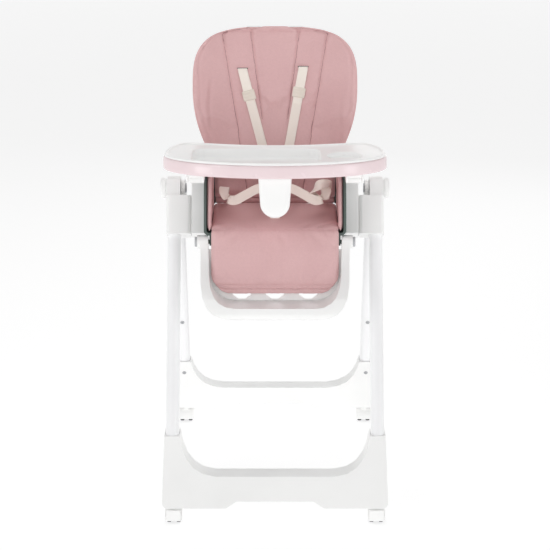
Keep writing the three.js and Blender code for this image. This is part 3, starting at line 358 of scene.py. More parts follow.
def merged(*parts):
    """Several (points, faces) as one."""
    points, faces = [], []
    for more, more_faces in parts:
        start = len(points)
        points += list(more)
        faces += [tuple(i + start for i in f) for f in more_faces]
    return points, faces


def circle(count):
    """(cos, sin) of evenly spread angles."""
    turns = [2 * math.pi * k / count for k in range(count)]
    return [(math.cos(a), math.sin(a)) for a in turns]


def lathe(profile, place, count):
    """A profile of (radius, along) turned about a line in X through a place."""
    x, y, z = place
    return rings([[(along + x, radius * c + y, radius * s + z) for c, s in circle(count)]
                  for radius, along in profile])


def rounded_rect(x0, x1, y0, y1, radius, steps=8):
    loop = []
    for cx, cy, start in ((x1 - radius, y0 + radius, -90), (x1 - radius, y1 - radius, 0),
                          (x0 + radius, y1 - radius, 90), (x0 + radius, y0 + radius, 180)):
        for k in range(steps + 1):
            a = math.radians(start + 90 * k / steps)
            loop.append((cx + radius * math.cos(a), cy + radius * math.sin(a)))
    return loop

def smooth(t):
    t = min(max(t, 0.0), 1.0)
    return t * t * (3 - 2 * t)


def lerp(a, b, t):
    return a + (b - a) * t


def spread_along(line, count, closed):
    """Evenly spread points on a polyline of Vectors."""
    line = line + ([line[0]] if closed else [])
    lengths = [0.0]
    for a, b in zip(line, line[1:]):
        lengths.append(lengths[-1] + (b - a).length)
    spread, k = [], 0
    for i in range(count):
        want = lengths[-1] * i / (count if closed else count - 1)
        while k < len(lengths) - 2 and lengths[k + 1] < want:
            k += 1
        span = lengths[k + 1] - lengths[k] or 1e-9
        spread.append(line[k].lerp(line[k + 1], min((want - lengths[k]) / span, 1)))
    return spread


def curve_points(points, count, closed=False):
    """Evenly spread points on a smooth curve through the given ones (Catmull-Rom)."""
    p = [Vector(q) for q in points]
    out = []
    for s in range(len(p) if closed else len(p) - 1):
        if closed:
            a, b, c, d = (p[(s + k) % len(p)] for k in (-1, 0, 1, 2))
        else:
            b, c = p[s], p[s + 1]
            a = p[s - 1] if s > 0 else b * 2 - c
            d = p[s + 2] if s + 2 < len(p) else c * 2 - b
        for k in range(24):
            t = k / 24
            out.append(0.5 * ((2 * b) + (c - a) * t + (2 * a - 5 * b + 4 * c - d) * t * t
                              + (3 * b - 3 * c + d - a) * t * t * t))
    return spread_along(out if closed else out + [p[-1].copy()], count, closed)


def tube(path, radius, sides=8, closed=False):
    """A round bead along a path of Vectors."""
    count = len(path)
    loops = []
    side = None
    for i, at in enumerate(path):
        before = path[i - 1] if i or closed else at
        after = path[(i + 1) % count] if i < count - 1 or closed else at
        ahead = (after - before).normalized()
        if side is None:
            side = ahead.orthogonal().normalized()
        side = (side - ahead * side.dot(ahead)).normalized()
        up = ahead.cross(side)
        loops.append([tuple(at + (side * c + up * s) * radius) for c, s in circle(sides)])
    return rings(loops, "joined" if closed else "faces")


STITCH_LONG, STITCH_GAP, THREAD_R = 3.4, 1.5, 0.42
# A stitch from end to end: how far along, share of the thread's radius, height over the cover.
STITCH = ((0, 0.35, -0.3), (0.14, 0.9, 0.05), (0.5, 1, 0.15), (0.86, 0.9, 0.05), (1, 0.35, -0.3))


def stitches(path, normals):
    """Sewing thread: short capsules end to end along a path, half sunk in the cover."""
    parts = []
    walked, target, start = 0.0, 0.0, None
    for a, b, normal in zip(path, path[1:], normals):
        step = (b - a).length
        while walked + step >= target and step > 0:
            at = a.lerp(b, (target - walked) / step) + normal * 0.25
            if start is None:
                start, target = at, target + STITCH_LONG
            else:
                side = (at - start).normalized().cross(normal).normalized()
                parts.append(rings([[tuple(start.lerp(at, t) + normal * lift
                                           + (side * c + normal * s) * THREAD_R * r)
                                     for c, s in circle(5)] for t, r, lift in STITCH]))
                start, target = None, target + STITCH_GAP
        walked += step
    return merged(*parts)


# ------ sewn and stuffed covers
def stops_between(stops, count, fine=(0.012, 0.04, 0.1)):
    """Grid lines from 0 to 1, close together at every stop (a seam or edge) and even in between.

    Returns the lines and each stop's place among them.
    """
    lines, marks = [], []
    for a, b in zip(stops, stops[1:]):
        marks.append(len(lines))
        lines.append(a)
        near = [f * min(0.25 / (b - a), 1.0) for f in fine]
        inner = max(int(round(count * (b - a))), 3)
        even = [lerp(near[-1], 1 - near[-1], k / inner) for k in range(1, inner)]
        for f in near + even + [1 - f for f in reversed(near)]:
            lines.append(lerp(a, b, f))
    marks.append(len(lines))
    lines.append(stops[-1])
    return lines, marks


def rim(distance, radius):
    """Rounding of a stuffed edge: 0 at the seam, 1 past the radius."""
    t = 1 - min(max(distance / radius, 0), 1)
    return math.sqrt(max(1 - t * t, 0))


CLOTH_FRAMES, CLOTH_SHRINK = 18, -0.02


class Cover:
    """A stuffed cover: a front and a back skin on one grid of lines, sewn together round the edge."""

    def __init__(self, name, front, back, size, across, up, round_by, body):
        self.name, self.body = name, body
        self.us, self.u_marks = across
        self.vs, self.v_marks = up
        self.cols, self.rows = len(self.us), len(self.vs)
        width, height = size
        self.front, self.back, self.uv = (np.zeros((self.rows, self.cols, n)) for n in (3, 3, 2))
        for j, v in enumerate(self.vs):
            for i, u in enumerate(self.us):
                f, b = Vector(front(u, v)), Vector(back(u, v))
                full = rim(min(u, 1 - u) * width(v), round_by) * rim(min(v, 1 - v) * height, round_by)
                middle = (f + b) / 2
                self.front[j, i] = middle + (f - middle) * full
                self.back[j, i] = middle + (b - middle) * full
                self.uv[j, i] = ((u - 0.5) * width(v) * MM, v * height * MM)
        self.edge = np.zeros((self.rows, self.cols), bool)
        self.edge[0, :] = self.edge[-1, :] = self.edge[:, 0] = self.edge[:, -1] = True
        self.held = self.edge.copy()

    def normals(self):
        n = np.cross(np.gradient(self.front, axis=1), np.gradient(self.front, axis=0))
        n /= np.maximum(np.linalg.norm(n, axis=2, keepdims=True), 1e-9)
        flip = np.sign((n * (self.front - self.back)).sum(axis=2, keepdims=True))
        flip[flip == 0] = 1
        return n * (1 if flip[2:-2, 2:-2].mean() > 0 else -1)

    def groove(self, weight, depth):
        """Pulls the front in by depth where weight (rows x cols, 0 to 1) says."""
        self.front -= self.normals() * (weight * depth)[:, :, None]

    def away_from_column(self, column, first=0):
        """Distance in mm of every grid point from a column seam that begins at row first."""
        away = np.linalg.norm(self.front - self.front[:, column:column + 1, :], axis=2)
        for j in range(first):
            away[j] += 2.5 * (first - j)
        return away

    def away_from_row(self, row):
        return np.linalg.norm(self.front - self.front[row:row + 1, :, :], axis=2)

    def mesh(self):
        """Both skins as points, faces and texture places. They share the points of the edge."""
        cells = [(j, i) for j in range(self.rows) for i in range(self.cols)]
        inner = [cell for cell in cells if not self.edge[cell]]
        front = {cell: k for k, cell in enumerate(cells)}
        back = {**front, **{cell: len(cells) + k for k, cell in enumerate(inner)}}
        points = [tuple(self.front[c]) for c in cells] + [tuple(self.back[c]) for c in inner]
        faces = []
        for j in range(self.rows - 1):
            for i in range(self.cols - 1):
                corners = ((j, i), (j, i + 1), (j + 1, i + 1), (j + 1, i))
                faces.append(tuple(front[c] for c in corners))
                faces.append(tuple(back[c] for c in reversed(corners)))
        return points, faces, [tuple(self.uv[c]) for c in cells + inner]

    def stuff(self, pressure, cap):
        """Blows the front skin up by cloth simulation. Edges, seams and the back skin are held."""
        points, faces, _ = self.mesh()
        body = new_object("stuffing", points, faces)
        edit(body.data, face_outwards)
        fixed = body.vertex_groups.new(name="sewn")
        count = self.rows * self.cols
        held = [k for k in range(count) if self.held.flat[k]] + list(range(count, len(points)))
        fixed.add(held, 1.0, "ADD")
        cloth = modify(body, "stuffing", "CLOTH")
        cloth.point_cache.frame_start, cloth.point_cache.frame_end = 1, CLOTH_FRAMES
        s = cloth.settings
        s.quality = 5
        s.use_pressure = True
        s.uniform_pressure_force = pressure
        s.effector_weights.gravity = 0
        s.vertex_group_mass = "sewn"
        s.shrink_min = CLOTH_SHRINK
        s.bending_stiffness = 2.0
        cloth.collision_settings.use_collision = False
        for number in range(1, CLOTH_FRAMES + 1):
            scene.frame_set(number)
        done = body.evaluated_get(bpy.context.evaluated_depsgraph_get())
        moved = np.array([v.co for v in done.data.vertices]).reshape(-1, 3)[:count] / MM
        bpy.data.objects.remove(body)
        scene.frame_set(1)
        shift = moved.reshape(self.rows, self.cols, 3) - self.front
        size = np.linalg.norm(shift, axis=2, keepdims=True)
        self.front += shift / (1 + size / cap)

    def pucker(self, away, along, height, pitch, reach, seed):
        """Small gathers that run out from a seam."""
        phase = np.random.default_rng(seed).uniform(0, 6.28, 4)
        ripple = sum(np.sin(along / pitch * f * 2 * math.pi + p) * w for f, p, w in zip(
            (1.0, 1.73, 0.61, 2.6), phase, (1.0, 0.6, 0.8, 0.35))) / 2
        fading = np.exp(-(away / reach) ** 1.4) * (away > 0.5)
        self.front += self.normals() * (ripple * height * fading)[:, :, None]

    def at(self, u, v, lift=0.0):
        """The point of the front skin at (u, v), lifted off it, and the way it faces."""
        i = int(np.clip(np.searchsorted(self.us, u) - 1, 0, self.cols - 2))
        j = int(np.clip(np.searchsorted(self.vs, v) - 1, 0, self.rows - 2))
        a = (u - self.us[i]) / (self.us[i + 1] - self.us[i])
        b = (v - self.vs[j]) / (self.vs[j + 1] - self.vs[j])
        low, high = (self.front[k, i] * (1 - a) + self.front[k, i + 1] * a for k in (j, j + 1))
        n = self.surface[j, i]
        return Vector(low * (1 - b) + high * b + n * lift), Vector(n)

    def line(self, spots, lift=0.0):
        self.surface = self.normals()
        found = [self.at(u, v, lift) for u, v in spots]
        return [p for p, _ in found], [n for _, n in found]

    def edge_line(self, count, start, low_step):
        """The sewn edge: up one side, over the top, down the other side and back along the foot."""
        front, rows, cols = self.front, self.rows, self.cols
        around = [front[j, 0] for j in range(start, rows, 2)]
        around += [front[-1, i] for i in range(1, cols - 1, 2)]
        around += [front[j, -1] for j in range(rows - 1 - start, 0, -2)]
        around += [front[0, i] for i in range(cols - 1, 0, -low_step)]
        return curve_points(around, count, True)

    def build(self, replaces):
        points, faces, uvs = self.mesh()
        made = piece(self.name, points, faces, self.body, "leatherette", None, replaces, uvs, 180)
        modify(made, "refine", "SUBSURF", levels=1, render_levels=1)
        return made


def thread(name, path_and_normals, body):
    piece(name, *stitches(*path_and_normals), body, "leatherette", "thread", sharp=180)


def welt(name, path, radius, body):
    """The corded edge of a cover."""
    points, faces = tube(path, radius, 8, closed=True)
    piece(name, points, faces, body, "leatherette", uvs=flat_uvs(points), sharp=180)


# ------ backrest cushion
LEAN = math.radians(9)
HINGE = (0, 92, 642)
BACK_TALL, BACK_LOW, BACK_HALF, WIDE_AT, CLEAR_AT = 404.5, 7, 190, 260, 112
TOP_ROUND, WAIST_HALF, FOOT_HALF, TOP_CROWD = 3.3, 154, 140, 1.35
UP_SLOPE = Vector((0, math.sin(LEAN), math.cos(LEAN)))
OUT_OF_SLOPE = Vector((0, -math.cos(LEAN), math.sin(LEAN)))


def back_frame(x, up, out):
    """A point given in the backrest's own frame: across, up its slope, out towards the child."""
    return (x, HINGE[1] + up * math.sin(LEAN) - out * math.cos(LEAN),
            HINGE[2] + up * math.cos(LEAN) + out * math.sin(LEAN))


def back_half(up):
    if up > WIDE_AT:
        t = min((up - WIDE_AT) / (BACK_TALL - WIDE_AT), 1)
        return BACK_HALF * max((1 - t ** TOP_ROUND) ** (1 / TOP_ROUND), 0.35)
    t = (WIDE_AT - up) / (WIDE_AT - CLEAR_AT)
    if up > CLEAR_AT:
        return BACK_HALF - (BACK_HALF - WAIST_HALF) * t * t
    return FOOT_HALF + (WAIST_HALF - FOOT_HALF) * smooth((up - 86) / 26)


def wing(x, up):
    return 42 * smooth((abs(x) - 88) / (BACK_HALF - 88)) * smooth((up - 80) / 120)


def seam_places(up):
    """X of the cushion's sides and its four long seams at a height."""
    half = back_half(up)
    outer = min(lerp(82, 117, np.clip((up - 130) / 240, -0.5, 1.1)), half * 0.9)
    inner = min(lerp(30, 56, np.clip((up - 190) / 190, -0.2, 1)), half * 0.6)
    return -half, -outer, -inner, inner, outer, half


U_SEAMS = (0.0, 0.2, 0.38, 0.62, 0.8, 1.0)


def back_up(v):
    return BACK_LOW + (BACK_TALL - BACK_LOW) * (1 - (1 - v) ** TOP_CROWD)


def back_v(up):
    return 1 - (1 - (up - BACK_LOW) / (BACK_TALL - BACK_LOW)) ** (1 / TOP_CROWD)


def back_width(v):
    return 2 * back_half(back_up(v))


def back_xy(u, v):
    up = back_up(v)
    return float(np.interp(u, U_SEAMS, seam_places(up))), up


def back_skin(out):
    def skin(u, v):
        x, up = back_xy(u, v)
        return back_frame(x, up, wing(x, up) + out)
    return skin


backrest = Cover(
    "backrest_cushion", back_skin(17), back_skin(4.5), (back_width, BACK_TALL - BACK_LOW),
    stops_between(U_SEAMS, 78), stops_between((0.0, 1.0), 88, (0.006, 0.014, 0.03)), 15, "backrest")
inner_from = int(np.searchsorted(backrest.vs, 0.36))
# The long seams' columns and first rows. The inner pair begins part of the way up.
back_seams = [(backrest.u_marks[k], first)
              for k, first in ((1, 0), (4, 0), (2, inner_from), (3, inner_from))]
for column, first in back_seams:
    backrest.groove(np.exp(-(backrest.away_from_column(column, first) / 7.0) ** 1.2), 4.5)
    backrest.held[first:, column] = True
backrest.stuff(3.2, 9)
heights = np.array([back_up(v) for v in backrest.vs])[:, None]
for number, (column, first) in enumerate(back_seams):
    away = backrest.away_from_column(column, first)
    backrest.pucker(away, heights, 0.55, 21, 13, 10 + number)
    backrest.groove(np.exp(-(away / 2.2) ** 2), 1.6)

# The border is sewn down a thumb's width in from the edge, and the wings crease where they bend.
EDGE_IN, SLANT = 11.0, 0.92
us = np.array(backrest.us)[None, :]
widths = np.array([back_width(v) for v in backrest.vs])[:, None]
from_edge = np.minimum(np.minimum(us, 1 - us) * widths * SLANT, BACK_TALL - heights)
backrest.groove(np.exp(-((from_edge - EDGE_IN) / 3.0) ** 2), 1.9)
across = np.array([[back_xy(u, v)[0] for u in backrest.us] for v in backrest.vs])
for sign, top, low, depth in ((-1, 290, 150, 2.4), (1, 250, 120, 1.2)):
    from_crease = across - sign * (146 + 5 * np.sin((heights - low) / 40))
    window = np.exp(-((heights - (top + low) / 2) / ((top - low) / 2.4)) ** 4)
    backrest.groove(np.exp(-(from_crease / 4.5) ** 2) * window, depth)
    backrest.groove(-np.exp(-((from_crease - sign * 9) / 6.5) ** 2) * window, depth * 0.7)
backrest.build(("backrest_pad",))


def back_border(inset):
    """(u, v) spots that run round the sides and top at one distance from the edge."""
    spots = [(inset / (back_width(v) * SLANT), v) for v in (lerp(0.02, 1, k / 90) for k in range(91))
             if back_up(v) <= BACK_TALL - inset]
    v_top = back_v(BACK_TALL - inset)
    u0 = max(inset / back_width(v_top), 0.03)
    left = spots + [(lerp(u0, 0.5, k / 20), v_top) for k in range(1, 21)]
    return left + [(1 - u, v) for u, v in reversed(left[:-1])]


def by_seam(column, start, aside, count, lift):
    """A line on the cushion beside one of its long seams."""
    return backrest.line([(backrest.us[column] + aside / back_width(v), v)
                          for v in np.linspace(start, 0.93, count)], lift)


thread("backrest_border_stitching", backrest.line(back_border(EDGE_IN), 0.1), "backrest")
for number, (column, first) in enumerate(back_seams):
    start = backrest.vs[first] if first else 0.03
    aside = 3.2 if number in (0, 2) else -3.2
    thread(f"backrest_seam_stitching_{number}", by_seam(column, start, aside, 90, 0.05), "backrest")
# Darker cords sunk in the long seams' grooves: painted shade along the seams.
for number, (column, first) in enumerate(back_seams):
    path, _ = by_seam(column, backrest.vs[first] if first else 0.01, 0, 80, -0.35)
    piece(f"backrest_seam_{number}", *tube(path, 0.85, 6), "backrest", "leatherette", "seam", sharp=180)
welt("backrest_welt", backrest.edge_line(260, 1, 4), 1.9, "backrest")

# ------ seat cushion running down over the calves
# Outer and inner side of the cover, (y, z), from the back of the seat over its front edge to the
# calf's lower end.
CALF_LOW, CALF_CORNER, SEAT_HALF = 488.5, 46, 144.2
SEAT_OUTER = ((81.5, 636), (20, 636), (-60, 636), (-128, 635.5), (-149, 633), (-158.5, 626),
              (-163, 612), (-168, 596), (-173.5, 577), (-182, 535), (-191, CALF_LOW))
SEAT_INNER = ((81.5, 620.6), (20, 620.4), (-60, 620.4), (-128, 620.4), (-148, 620.6), (-151.6, 620),
              (-152.2, 610), (-154.8, 597), (-159.6, 577), (-168, 535), (-177, CALF_LOW))
SEAT_LONG = sum(math.dist(a, b) for a, b in zip(SEAT_OUTER, SEAT_OUTER[1:]))
smooth_outer, smooth_inner = (curve_points([(0, y, z) for y, z in line], 120)
                              for line in (SEAT_OUTER, SEAT_INNER))


def along_seat(line, v):
    place = v * (len(line) - 1)
    k = min(int(place), len(line) - 2)
    return line[k].lerp(line[k + 1], place - k)


def seat_half(v):
    z = along_seat(smooth_outer, v).z
    if z > CALF_LOW + CALF_CORNER:
        return SEAT_HALF
    rise = CALF_CORNER - (z - CALF_LOW)
    return SEAT_HALF - (CALF_CORNER - math.sqrt(max(CALF_CORNER ** 2 - rise ** 2, 0)))


def seat_skin(line):
    def skin(u, v):
        p = along_seat(line, v)
        return ((u - 0.5) * 2 * seat_half(v), p.y, p.z)
    return skin


def seat_v(z):
    """How far down the cover a height on its front is."""
    found = [k for k, p in enumerate(smooth_outer) if p.z <= z and p.y < -100]
    return found[0] / (len(smooth_outer) - 1)


LIP_V, UPPER_SEAM_V, LOWER_SEAM_V = seat_v(631.5), seat_v(510.5), seat_v(503.5)
seat = Cover(
    "seat_cover", seat_skin(smooth_outer), seat_skin(smooth_inner),
    (lambda v: 2 * seat_half(v), SEAT_LONG), stops_between((0.0, 1.0), 62, (0.008, 0.02, 0.05)),
    stops_between((0.0, LIP_V, UPPER_SEAM_V, LOWER_SEAM_V, 1.0), 84), 9, None)
seat_rows = seat.v_marks[1:4]
for row, depth, reach in zip(seat_rows, (2.2, 2.4, 2.4), (5, 4, 4)):
    seat.groove(np.exp(-(seat.away_from_row(row) / reach) ** 1.3), depth)
    seat.held[row, :] = True
seat.stuff(2.2, 5)
over = (np.array(seat.us)[None, :] - 0.5) * 290
for number, row in enumerate(seat_rows):
    away = seat.away_from_row(row)
    seat.pucker(away, over, 0.35, 19, 11, 40 + number)
    seat.groove(np.exp(-(away / 1.8) ** 2), 1.0)
seat_cover = seat.build(("seat_pad", "calf_pad"))
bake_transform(seat_cover)
for name, v, aside, margin, body in (("calf_upper", UPPER_SEAM_V, -2.6, 0.07, "leg_rest"),
                                     ("calf_lower", LOWER_SEAM_V, 2.6, 0.07, "leg_rest"),
                                     ("seat_front", LIP_V, -3.0, 0.03, "seat")):
    thread(f"{name}_stitching", seat.line(
        [(u, v + aside / SEAT_LONG) for u in np.linspace(margin, 1 - margin, 110)], 0.05), body)

# Roll of the seat cover that closes the crease under the backrest.
ROLL_R = 8.6
ROLL_END = [(0, -141.5), (5.4, -141.2), (7.9, -139.6), (ROLL_R, -136)]
ROLL = ROLL_END + [(ROLL_R + 0.25 * math.sin(x / 17), x) for x in range(-126, 127, 14)]
points, faces = lathe(ROLL + [(r, -x) for r, x in reversed(ROLL_END)], (0, 89.3, 641.3), 28)
piece("seat_back_roll", points, faces, "seat", "leatherette",
      uvs=[(p[0] * MM, (p[1] + p[2]) * MM) for p in points])

# ------ side cushions
SIDE_LOW, SIDE_TOP = 626, 748
SIDE_FRONT = ((SIDE_LOW, -146), (642, -145), (690, -125), (728, -108), (741, -98), (SIDE_TOP, -80))
SIDE_BACK = ((SIDE_LOW, 70), (700, 62), (736, 57), (744, 52), (SIDE_TOP, 40))


def side_span(v):
    """Y of the front and back edge of a side cushion."""
    z = lerp(SIDE_LOW, SIDE_TOP, v)
    return [float(np.interp(z, *zip(*edge))) for edge in (SIDE_FRONT, SIDE_BACK)]


def side_width(v):
    front, back = side_span(v)
    return back - front


def side_skin(x):
    return lambda u, v: (x, lerp(*side_span(v), u), lerp(SIDE_LOW, SIDE_TOP, v))


for side, sign in SIDES:
    pad = Cover(
        f"side_cushion_{side}", side_skin(sign * 142.4), side_skin(sign * 153.6),
        (side_width, SIDE_TOP - SIDE_LOW), stops_between((0.0, 1.0), 44, (0.01, 0.03, 0.07)),
        stops_between((0.0, 1.0), 26, (0.015, 0.05, 0.1)), 8, "seat")
    pad.stuff(2.0, 3)
    drift = np.array([[lerp(*side_span(v), u) for u in pad.us] for v in pad.vs])
    pad.pucker(np.array(pad.vs)[:, None] * (SIDE_TOP - SIDE_LOW), drift, 0.7, 34, 60, 60 + sign)
    pad.build((f"side_pad_{side}",))
    welt(f"side_welt_{side}", pad.edge_line(150, 0, 3), 1.5, "seat")


# ------ harness
STRAP_W, STRAP_T = 22, 1.7
# Half of the webbing's section, as shares of its width and thickness; the rest is its mirror image.
TAPE_TOP = [(-0.5, 0.0), (-0.485, 0.42), (-0.455, 0.5), (-0.3, 0.5), (0, 0.5), (0.3, 0.5), (0.455, 0.5),
            (0.485, 0.42)]
TAPE = TAPE_TOP + [(-a, -b) for a, b in TAPE_TOP]


def ribbon(name, spots, body, replaces, count):
    """Webbing along (point, direction across) pairs."""
    path = curve_points([p for p, _ in spots], count)
    keys = [0.0]
    for (a, _), (b, _) in zip(spots, spots[1:]):
        keys.append(keys[-1] + math.dist(a, b))
    turns = [Vector([float(np.interp(s, keys, [side[k] for _, side in spots])) for k in range(3)])
             for s in np.linspace(0, keys[-1], count)]
    loops, uvs, walked = [], [], 0.0
    for k, at in enumerate(path):
        ahead = (path[min(k + 1, count - 1)] - path[max(k - 1, 0)]).normalized()
        side = (turns[k] - ahead * turns[k].dot(ahead)).normalized()
        up = side.cross(ahead)
        walked += (at - path[k - 1]).length if k else 0
        loops.append([tuple(at + side * a * STRAP_W + up * b * STRAP_T) for a, b in TAPE])
        uvs += [(a * STRAP_W * MM, walked * MM) for a, _ in TAPE]
    return piece(name, *rings(loops), body, "webbing", replaces=replaces, uvs=uvs, sharp=60)


def over_back(x, up, lift):
    """How far out webbing 22 mm wide lies on the backrest cushion."""
    outs = []
    for shift in (-10, -5, 0, 5, 10):
        p, _ = backrest.at(float(np.interp(x + shift, seam_places(up), U_SEAMS)), back_v(up))
        outs.append(-(p.y - HINGE[1]) * math.cos(LEAN) + (p.z - HINGE[2]) * math.sin(LEAN))
    return max(outs) + lift


# The shoulder straps hang unevenly: (x, up the slope) from the slot in the cover to the lap.
STRAP_LINES = {"left": ((-76, 303), (-61, 245), (-31, 132), (-24, 104)),
               "right": ((66, 307), (56, 252), (35, 134), (27, 104))}
# From the backrest's foot to the buckle: distance from the middle, y, z.
STRAP_END = ((22, 56, 731), (20, 20, 713), (18, -22, 709), (15, -50, 716), (13, -57, 714))
# Three-bar slider: (along, height, half width) of its sections, and one section's shape.
SLIDER = ((-12.5, 0.8, 13.6), (-11.6, 2.6, 14.6), (-9, 3.6, 15), (-6, 2.9, 15), (-3.4, 1.9, 15),
          (-1, 2.9, 15.2), (1.2, 3.3, 15.2), (3.6, 2.0, 15), (6, 2.9, 15), (9, 3.7, 15),
          (11.6, 2.6, 14.6), (12.5, 0.8, 13.6))
SLIDER_SECTION = ((-1, -0.6), (-1, 0.45), (-0.94, 0.86), (-0.82, 1), (0, 1.06), (0.82, 1), (0.94, 0.86),
                  (1, 0.45), (1, -0.6))
LIFT = 1.6
for side, sign in SIDES:
    line = STRAP_LINES[side]
    xs, ups = zip(*line[::-1])
    samples = [(float(np.interp(up, ups, xs)), up) for up in np.linspace(line[0][1] - 3, 108, 26)]
    outs = np.array([over_back(x, up, LIFT) for x, up in samples])
    for _ in range(3):
        outs = np.maximum(outs, np.convolve(np.pad(outs, 1, "edge"), (0.25, 0.5, 0.25), "valid"))
    top_x, top_up = line[0]
    spots = [back_frame(top_x + sign, top_up + 9, outs[0] - 7),
             back_frame(top_x, top_up + 2, outs[0] - 0.5)]
    spots += [back_frame(x, up, out) for (x, up), out in zip(samples, outs)]
    spots += [(sign * x, y, z) for x, y, z in STRAP_END]
    strap = ribbon(f"shoulder_strap_{side}", [(spot, RIGHT) for spot in spots], None,
                   (f"shoulder_strap_{side}",), 150)
    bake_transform(strap)
    # Slot in the cover that the webbing comes out of, with its bound edge.
    slot_at = Vector(back_frame(top_x, top_up + 5, outs[0] - 1.6))
    loop = [slot_at + RIGHT * x + UP_SLOPE * y for x, y in rounded_rect(-13.5, 13.5, -2.4, 2.4, 2.3, 5)]
    points, faces = tube(loop, 0.9, 6, closed=True)
    piece(f"strap_slot_binding_{side}", points, faces, "backrest", "leatherette", "thread",
          uvs=flat_uvs(points), sharp=180)
    # The slot's inner wall is painted dark: painted shade inside the slot.
    hollow = rings([[tuple(p + OUT_OF_SLOPE * d) for p in loop] for d in (-2.2, -0.4)])
    piece(f"strap_slot_{side}", *hollow, "backrest", "leatherette", "hollow")
    x, up = line[1]
    run = Vector((line[0][0] - line[2][0], line[0][1] - line[2][1], 0)).normalized()
    out = over_back(x, up, LIFT)
    loops = [[back_frame(x + run.y * a * half + run.x * along, up - run.x * a * half + run.y * along,
                         out + b * (tall if b > 0 else 1.6)) for a, b in SLIDER_SECTION]
             for along, tall, half in SLIDER]
    slider = piece(f"strap_slider_{side}", *rings(loops), "backrest", "webbing", "slider",
                   (f"strap_adjuster_{side}",), sharp=50)
    modify(slider, "rounding", "SUBSURF", levels=1, render_levels=1)

CROTCH_ROUTE = ((0, -92, 636.5), (0, -86, 643), (0, -74, 658), (0, -62, 676), (0, -58.5, 690))
ribbon("crotch_strap", [(p, RIGHT) for p in CROTCH_ROUTE], "seat", ("crotch_strap",), 50)
# Slack lap straps: from the buckle over the lap and down to the back corners of the seat.
LAP_ROUTE = (
    ((24, -56, 704), (0.35, 0, 0.94)), ((44, -60, 700), (0.45, -0.1, 0.88)),
    ((66, -68, 690), (0.5, -0.1, 0.85)), ((90, -76, 679), (0.6, 0, 0.8)),
    ((106, -80, 682), (0.75, 0.1, 0.6)), ((117, -72, 694), (0.92, 0, 0.35)),
    ((116, -50, 703), (0.98, 0, 0.1)), ((116, -15, 690), (1, 0.1, 0)),
    ((119, 25, 672), (1, 0, 0.1)), ((121, 60, 662), (1, 0, 0)))
LAP_TAIL = (
    ((128, -30, 690), (0.2, 0.3, 0.9)), ((122, -62, 712), (0.5, 0, 0.8)),
    ((104, -78, 716), (0.2, 0.2, 0.95)), ((86, -70, 700), (0.6, 0.2, 0.7)),
    ((84, -52, 684), (0.9, 0.3, 0.3)), ((100, -44, 676), (0.8, 0.5, 0.2)),
    ((118, -52, 680), (0.5, 0.7, 0.4)), ((126, -70, 690), (0.3, 0.5, 0.8)))
for side, sign in SIDES:
    route = [((sign * x, y, z), (sign * a, b, c)) for (x, y, z), (a, b, c) in LAP_ROUTE]
    ribbon(f"lap_strap_{side}", route, "seat", (f"lap_strap_{side}",), 120)
ribbon("lap_strap_tail_right", LAP_TAIL, "seat", (), 90)

# ------ tray
TRAY_HALF, TRAY_MID, TRAY_BULGE, TRAY_BACK, TRAY_SCOOP = 251, -140, 118, -24, 28
TRAY_Z, TRAY_TALL = 768, 29
SHEET_Z = TRAY_Z + TRAY_TALL + 3.5


def bezier(a, b, c, d, steps):
    """Points of a cubic in the plane, without its last one."""
    found = interpolate_bezier(*[Vector((x, y, 0)) for x, y in (a, b, c, d)], steps + 1)
    return [(p.x, p.y) for p in found[:-1]]


def tray_outline(inset):
    """The tray in plan: an ellipse in front, rounded back corners and a hollow for the child."""
    half, back = TRAY_HALF - inset, TRAY_BACK - inset
    side, turn, corner, hollow = half - 22, half - 30, half - 46, back - TRAY_SCOOP
    front = [(half * math.cos(a), TRAY_MID + (TRAY_BULGE - inset) * math.sin(a))
             for a in np.linspace(math.pi, 2 * math.pi, 161)[:-1]]
    right = bezier((half, TRAY_MID), (half, TRAY_MID + 44), (half - 14, back - 34),
                   (side, back - 18), 26)
    right += bezier((side, back - 18), (lerp(side, turn, 2 / 3), lerp(back - 18, back, 2 / 3)),
                    (lerp(corner, turn, 2 / 3), back), (corner, back), 12)
    right += bezier((corner, back), (corner * 0.7, back), (corner * 0.55, hollow), (0, hollow), 30)
    left = [(-x, y) for x, y in reversed(right[1:])]
    loop = [Vector((x, y, 0)) for x, y in front + right + [(0, hollow)] + left]
    return [(p.x, p.y) for p in spread_along(loop, 280, True)]


def lift(loop, z):
    return [(x, y, z) for x, y in loop]


def box_rings(sign, x0, x1, y0, y1, z0, z1, radius, edge=1.2):
    """A block with rounded upright corners and softened edges, on the side that sign says."""
    x0, x1 = sorted((sign * x0, sign * x1))
    loops = []
    for inset, z in ((edge, z0), (edge * 0.3, z0 + edge * 0.3), (0, z0 + edge), (0, z1 - edge),
                     (edge * 0.3, z1 - edge * 0.3), (edge, z1)):
        loops.append(lift(rounded_rect(
            x0 + inset, x1 - inset, y0 + inset, y1 - inset, max(radius - inset, 0.3), 5), z))
    return rings(loops)


